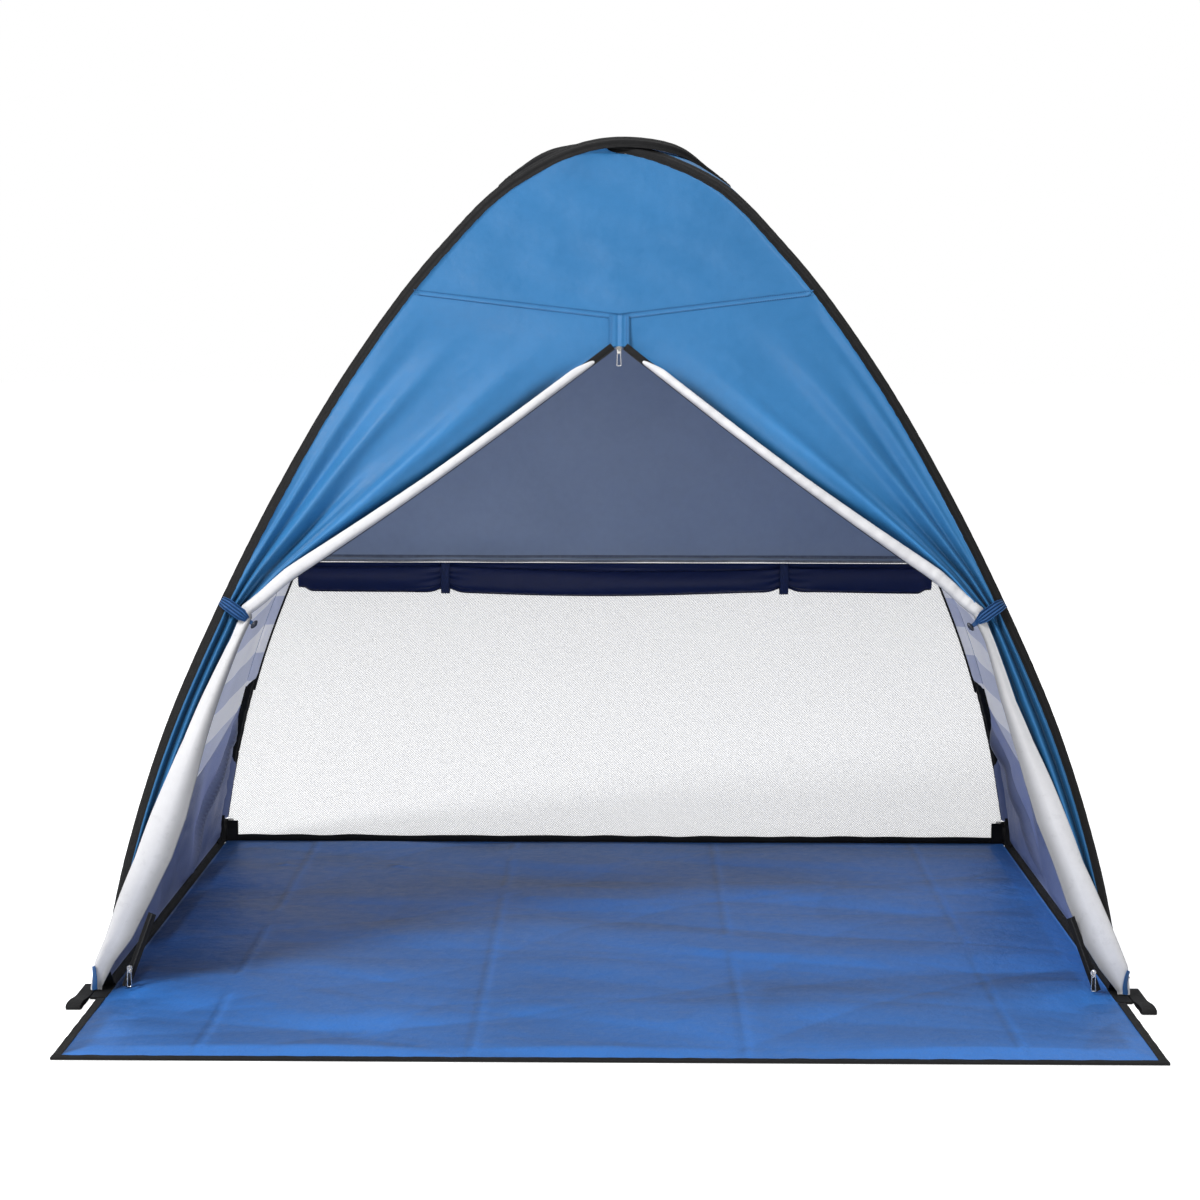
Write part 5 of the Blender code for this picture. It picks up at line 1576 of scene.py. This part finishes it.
def build_flap_neck(x, y, middle_z, deep, roll_top):
    """The cloth between the piping and the roll."""
    rows = []
    for share in np.arange(12) / 11:
        z = (roll_top + 0.0068) * (1 - share) + (middle_z + 0.010) * share
        sway = 0.0022 * ripples(x, share, 0.12, 67) * share
        rows.append(np.stack([x, y + deep * 0.55 * np.sin(share * 1.5) - 0.002 + sway, z], axis=-1))
    rows = np.array(rows)
    strip = add_sheet("flap_neck", rows, "navy", "navy", flap_thickness, away_from=(0.0, -5.0, 0.5))
    cut_of(rows)[0]
    keep(strip, (), "window_roll")


def build_flap_strap(name, low, high):
    """A ribbed strap round the roll."""
    turns = np.linspace(0.0, math.tau, 60, endpoint=False)
    x, y, z = ((a + b) / 2 for a, b in zip(low, high))
    deep, tall = (high[1] - low[1]) / 2 - 0.001, (high[2] - low[2]) / 2 - 0.001
    path = np.stack([np.full(len(turns), x), y + np.cos(turns) * deep, z + np.sin(turns) * tall], axis=-1)
    centre = path.mean(axis=0)
    path = np.vstack([path, path[:1]])
    columns = np.linspace(-0.0085, 0.0085, 17)
    outward = unit((path - centre) * np.array([0.0, 1.0, 1.0]))
    ridge = 0.0005 * np.cos(columns * math.tau / 0.0045)
    rows = path[:, None] + outward[:, None] * ridge[None, :, None]
    rows[..., 0] += columns
    tape = "navy_tape"
    body = add_sheet(f"{name}_flap_strap", rows, tape, tape, doubled_thickness, away_from=centre)
    settle(body, rows, [f"{name}_flap_tie"], "window_roll")


# Floor and apron


def floor_relief(x, y, seed):
    """Long soft creases, some sharper wrinkles toward the back and the lines where it was folded away."""
    soft = 0.0026 * (1 + ripples(x, 1.6 * y, 0.42, seed))
    long_creases = 0.0026 * np.abs(creases(0.6 * x + 0.5 * y, y - 0.2 * x, 0.30, seed + 1))
    wrinkles = 0.0036 * bump(creases(0.5 * x, y + 0.25 * x, 0.13, seed + 2), 1.1, 0.45)
    place = smoothstep(-0.15, 0.30, y) * (0.45 + 0.55 * smoothstep(0.1, 0.7, np.abs(x)))
    wrinkles = wrinkles + 0.0013 * bump(creases(0.5 * x, y + 0.35 * x, 0.065, seed + 3), 1.2, 0.5)
    packed = 0.0012 * bump(np.abs(np.mod(x + 0.41, 0.41) - 0.205), 0.0, 0.005)
    return np.clip(soft + long_creases + wrinkles * place + packed, 0.0, 0.0092)


def flat_rows(x_low, x_high, y_low, y_high, z, step):
    x = np.linspace(x_low, x_high, max(4, int((x_high - x_low) / step)))
    y = np.linspace(y_low, y_high, max(4, int((y_high - y_low) / step)))
    xs, ys = np.meshgrid(x, y)
    return np.stack([xs, ys, np.full(xs.shape, z)], axis=-1)


foot_ring_x = 0.778


def build_front_corners():
    """The doubled tape from each front foot to the threshold, beside the peg loop."""
    for name, side in side_of.items():
        low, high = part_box(f"{name}_front_peg_loop")
        x = side * (min(abs(low[0]), abs(high[0])) - 0.0010 - corner_tape[0] / 2)
        path = np.linspace((x, threshold_y + 0.0008, 0.0021), (x, foot_y + 0.036, 0.0021), 60)
        add_tape(f"{name}_front_corner_tape", path, upright, corner_tape)


def build_floor():
    """The floor and the apron in front of it: one sheet of cloth across the threshold where the apron folds;
    the sheet is built flat and does not move with the apron.
    """
    low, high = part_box("floor_sheet")
    apron_low, apron_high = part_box("apron_sheet")
    middle = (low[2] + high[2]) / 2
    rows = flat_rows(-1.0, 1.0, apron_low[1], high[1], middle, 0.008)
    rows[..., 0] *= np.interp(rows[..., 1], (threshold_y, threshold_y + 0.012), (apron_high[0], high[0]))
    x, y = rows[..., 0], rows[..., 1]
    relief = floor_relief(x, y, 71) * edge_fade(rows, 6.0)
    near_ring = bump(np.abs(x), foot_ring_x, 0.050) * bump(y, threshold_y - 0.030, 0.050)
    relief = relief * (1 - np.minimum(1.0, 1.3 * near_ring))
    shaped = rows.copy()
    shaped[..., 2] += relief
    # Painted shade and highlight from the relief's slope, as if the floor were lit from one side.
    slope = np.gradient(relief, axis=1) - np.gradient(relief, axis=0)
    shade = np.clip(slope * 420.0, -0.35, 0.50)
    below = (0.0, middle_y, -1.0)
    body = add_sheet("floor_and_apron", shaped, "floor", "floor", floor_thickness, (shade, shade), below)
    flat, area = cut_of(rows)
    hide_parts("floor_sheet", "apron_sheet")
    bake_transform(body)


def folded_tape():
    """The section of a tape folded over a cloth edge: places out from the cloth and up from the ground."""
    wide, high, leg, depth = 0.014, 0.0041, 0.0009, 0.0085
    outer = [(0.0, 0.0), (wide - 0.002, 0.0), (wide, 0.0008), (wide + 0.0003, high / 2)]
    outer += [(wide, high - 0.0006), (wide - 0.002, high + 0.0002), (0.004, high), (0.0, high)]
    return outer + [(0.0, high - leg), (depth, high - leg), (depth, leg), (0.0, leg)]


def build_tape_edges():
    """The tapes folded over the floor's rear edge and over the apron's three free edges."""
    section = np.array(folded_tape())
    jobs = [
        ("rear_floor_binding", "tent", "rear_edge_tape", (0.0, 1.0, 0.0)),
        ("apron_front_binding", "apron", "apron_front_tape", (0.0, -1.0, 0.0)),
        ("left_apron_binding", "apron", "apron_left_tape", (-1.0, 0.0, 0.0)),
        ("right_apron_binding", "apron", "apron_right_tape", (1.0, 0.0, 0.0)),
    ]
    share = np.linspace(0.0, 1.0, 160)[:, None]
    for node, body_name, name, outward in jobs:
        low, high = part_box(node)
        outward = np.array(outward)
        axis = int(np.argmax(np.abs(outward)))
        start, end = np.array([low[0], low[1], 0.0]), np.array([high[0], high[1], 0.0])
        start[axis] = end[axis] = low[axis] if outward[axis] > 0 else high[axis]
        path = start * (1 - share) + end * share
        along = run_lengths(path)
        wave = ripples(along, 0.0, 0.045, 81 + axis)[:, None]
        line = Line(path, np.broadcast_to(outward, path.shape), np.broadcast_to(upright, path.shape))
        sections = np.repeat(section[None], len(path), axis=0)
        sections[..., 1] += np.where(sections[..., 1] > 0.002, 0.0003 * (1 + wave), 0.0)
        keep(add_swept(name, line, sections, "black"), [node], body_name)
        path = path + outward * 0.0032 + np.array([0.0, 0.0, 0.0046])
        add_stitches(f"{name}_stitches", path, upright, edge_stitch, body_name=body_name)


# Peg loops


peg_loop_lengths = {"front": 0.150, "rear": 0.046}
webbing_thickness = 0.0018
peg_eye = 0.0070


def webbing_path(length):
    """A strap doubled back over an open eye, seen from its edge: places along it and out from its bed."""
    bottom = webbing_thickness / 2
    top = bottom + webbing_thickness + 0.0004
    middle, centre = bottom + peg_eye / 2, length - peg_eye / 2
    flat = (0.0, length * 0.2, length * 0.45)
    path = [(place, bottom) for place in flat]
    for turn in np.linspace(-math.pi / 2, math.pi / 2, 9):
        path.append((centre + peg_eye / 2 * math.cos(turn), middle + peg_eye / 2 * math.sin(turn)))
    return path + [(place, top) for place in reversed(flat)]


def build_peg_loop(node, body_name, lies_flat, length):
    """A loop of webbing, with three rows of tack stitches near its root."""
    low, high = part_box(node)
    x = (low[0] + high[0]) / 2
    if lies_flat:
        root, along, out = np.array([x, high[1], 0.0]), forward, upright
    else:
        root, along, out = np.array([x, low[1], 0.0]), upright, np.array([0.0, 1.0, 0.0])
    path = webbing_path(length)
    points = spaced(smooth_curve([root + along * a + out * b for a, b in path]), 160)
    across = np.broadcast_to(np.cross(along, out), points.shape)
    line = Line(points, across, np.cross(unit(np.gradient(points, axis=0)), across))
    body = add_swept(node + "_webbing", line, rounded_strip(*webbing_tape), "black")
    keep(body, [node], body_name)
    half = across[0] * webbing_tape[0] * 0.42
    for k, place in enumerate((0.22, 0.26, 0.30)):
        middle = root + along * (length * place) + out * (path[-1][1] + 0.0012)
        tack = np.linspace(middle - half, middle + half, 30)
        add_stitches(f"{node}_tack_{k}", tack, out, tack_stitch, body_name=body_name)


def build_peg_loops():
    for end, length in peg_loop_lengths.items():
        for name in side_of:
            build_peg_loop(f"{name}_{end}_peg_loop", f"{name}_{end}_loop", end == "front", length)


metal_finishes = {
    "left_hoop_wire": "wire",
    "right_hoop_wire": "wire",
    "left_hoop_ferrule": "steel",
    "right_hoop_ferrule": "steel",
    "zip_slider": "steel",
    "left_foot_zip_slider": "steel",
    "right_foot_zip_slider": "steel",
}


def dress_metal(frame_nodes):
    """Finer finishes for the solids that stay as they are."""
    for node in frame_nodes:
        if node.name in metal_finishes:
            for place in node.material_slots:
                place.material = finishes[metal_finishes[node.name]]


# Studio

white = (1.0, 1.0, 1.0, 1.0)
lamps = (
    ("key", (-3.0, -3.0, 4.6), (0.0, 0.2, 0.4), 1.9, 275.0),
    ("fill", (1.2, -6.2, 1.5), (0.0, 0.4, 0.5), 3.0, 75.0),
    ("top", (0.2, 1.6, 4.8), (0.0, 0.2, 0.4), 3.2, 70.0),
)


def build_studio():
    """A white floor that glows just enough to meet the white backdrop, and three soft lamps."""
    reach, drop = 40.0, -0.0006
    corners = [(-reach, -reach, drop), (reach, -reach, drop), (reach, reach, drop), (-reach, reach, drop)]
    mesh = bpy.data.meshes.new("studio_floor")
    mesh.from_pydata(corners, [], [(0, 1, 2, 3)])
    mesh.materials.append(studio_floor_finish())
    floor = bpy.data.objects.new("studio_floor", mesh)
    bpy.context.scene.collection.objects.link(floor)
    build_backdrop()
    for name, place, target, size, power in lamps:
        add_light(name, place, target, size, power)


def studio_floor_finish():
    finish, tree, shader = new_finish("studio_floor")
    rays = tree.nodes.new("ShaderNodeLightPath")
    inputs = {
        "Base Color": (0.86, 0.86, 0.87, 1.0),
        "Roughness": 0.9,
        "Emission Strength": combine(tree, "MULTIPLY", rays.outputs["Is Camera Ray"], 0.74),
        "Emission Color": white,
    }
    feed(tree, shader, inputs)
    return finish


def build_backdrop():
    """A world that the camera sees as white and that lights the tent softly."""
    world = bpy.data.worlds.new("studio")
    bpy.context.scene.world = world
    world.use_nodes = True
    tree = world.node_tree
    soft = feed(tree, tree.nodes["Background"], {"Color": white, "Strength": 0.36})
    bright = add_node(tree, "Background", {"Color": white, "Strength": 1.0})
    rays = tree.nodes.new("ShaderNodeLightPath")
    surface = mix_shaders(tree, rays.outputs["Is Camera Ray"], soft.outputs[0], bright.outputs[0])
    feed(tree, tree.nodes["World Output"], {"Surface": surface})


def placed(right, up, backward, place):
    """The matrix of a lamp or a camera that looks away from the backward direction."""
    matrix = np.eye(4)
    matrix[:3] = np.stack([right, up, backward, place], axis=-1)
    return Matrix(matrix.tolist())


def add_light(name, place, target, size, power):
    """A round soft lamp that points at a target."""
    data = bpy.data.lights.new(name, "AREA")
    data.shape = "DISK"
    data.size = size
    data.energy = power
    lamp = bpy.data.objects.new(name, data)
    backward = unit(np.array(place) - np.array(target))
    right = unit(np.cross(upright, backward))
    lamp.matrix_world = placed(right, np.cross(backward, right), backward, place)
    bpy.context.scene.collection.objects.link(lamp)


camera_place = (0.0225, -4.4741, 1.0855)
camera_yaw = 0.0101
camera_pitch = 0.1085
camera_roll = 0.0021
camera_lens = 76.67


def build_camera():
    """The camera of the photograph."""
    flat_right = np.array([math.cos(camera_yaw), math.sin(camera_yaw), 0.0])
    flat_ahead = np.array([-math.sin(camera_yaw), math.cos(camera_yaw), 0.0])
    ahead = math.cos(camera_pitch) * flat_ahead - math.sin(camera_pitch) * upright
    up = math.sin(camera_pitch) * flat_ahead + math.cos(camera_pitch) * upright
    right = math.cos(camera_roll) * flat_right + math.sin(camera_roll) * up
    up = math.cos(camera_roll) * up - math.sin(camera_roll) * flat_right
    data = bpy.data.cameras.new("photo_view")
    data.lens = camera_lens
    data.sensor_width = 36.0
    camera = bpy.data.objects.new("photo_view", data)
    camera.matrix_world = placed(right, up, -ahead, camera_place)
    bpy.context.scene.collection.objects.link(camera)
    bpy.context.scene.camera = camera


def main():
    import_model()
    frame_nodes = [body for body in bpy.data.objects if body.type == "MESH"]
    make_finishes()
    tent = Tent()
    build_sleeves(tent)
    build_floor_bindings()
    build_header(tent)
    build_crown(tent)
    for name in ("left", "right"):
        build_door(tent, name)
        build_foot_turn(tent, name)
        build_zip_tape(tent, name)
        build_foot_zip(name)
        build_tie(tent, name)
        build_side(tent, name)
        build_pull(f"{name}_foot_ring", f"{name}_foot_zip_pull", f"{name}_foot_pull")
    build_placket(tent)
    build_pull("zip_ring", "zip_pull", "zip_pull")
    build_rear(tent)
    build_window_flap()
    build_floor()
    build_front_corners()
    build_tape_edges()
    build_peg_loops()
    dress_metal(frame_nodes)
    build_studio()
    build_camera()
    bpy.context.scene.view_settings.view_transform = "Standard"


main()
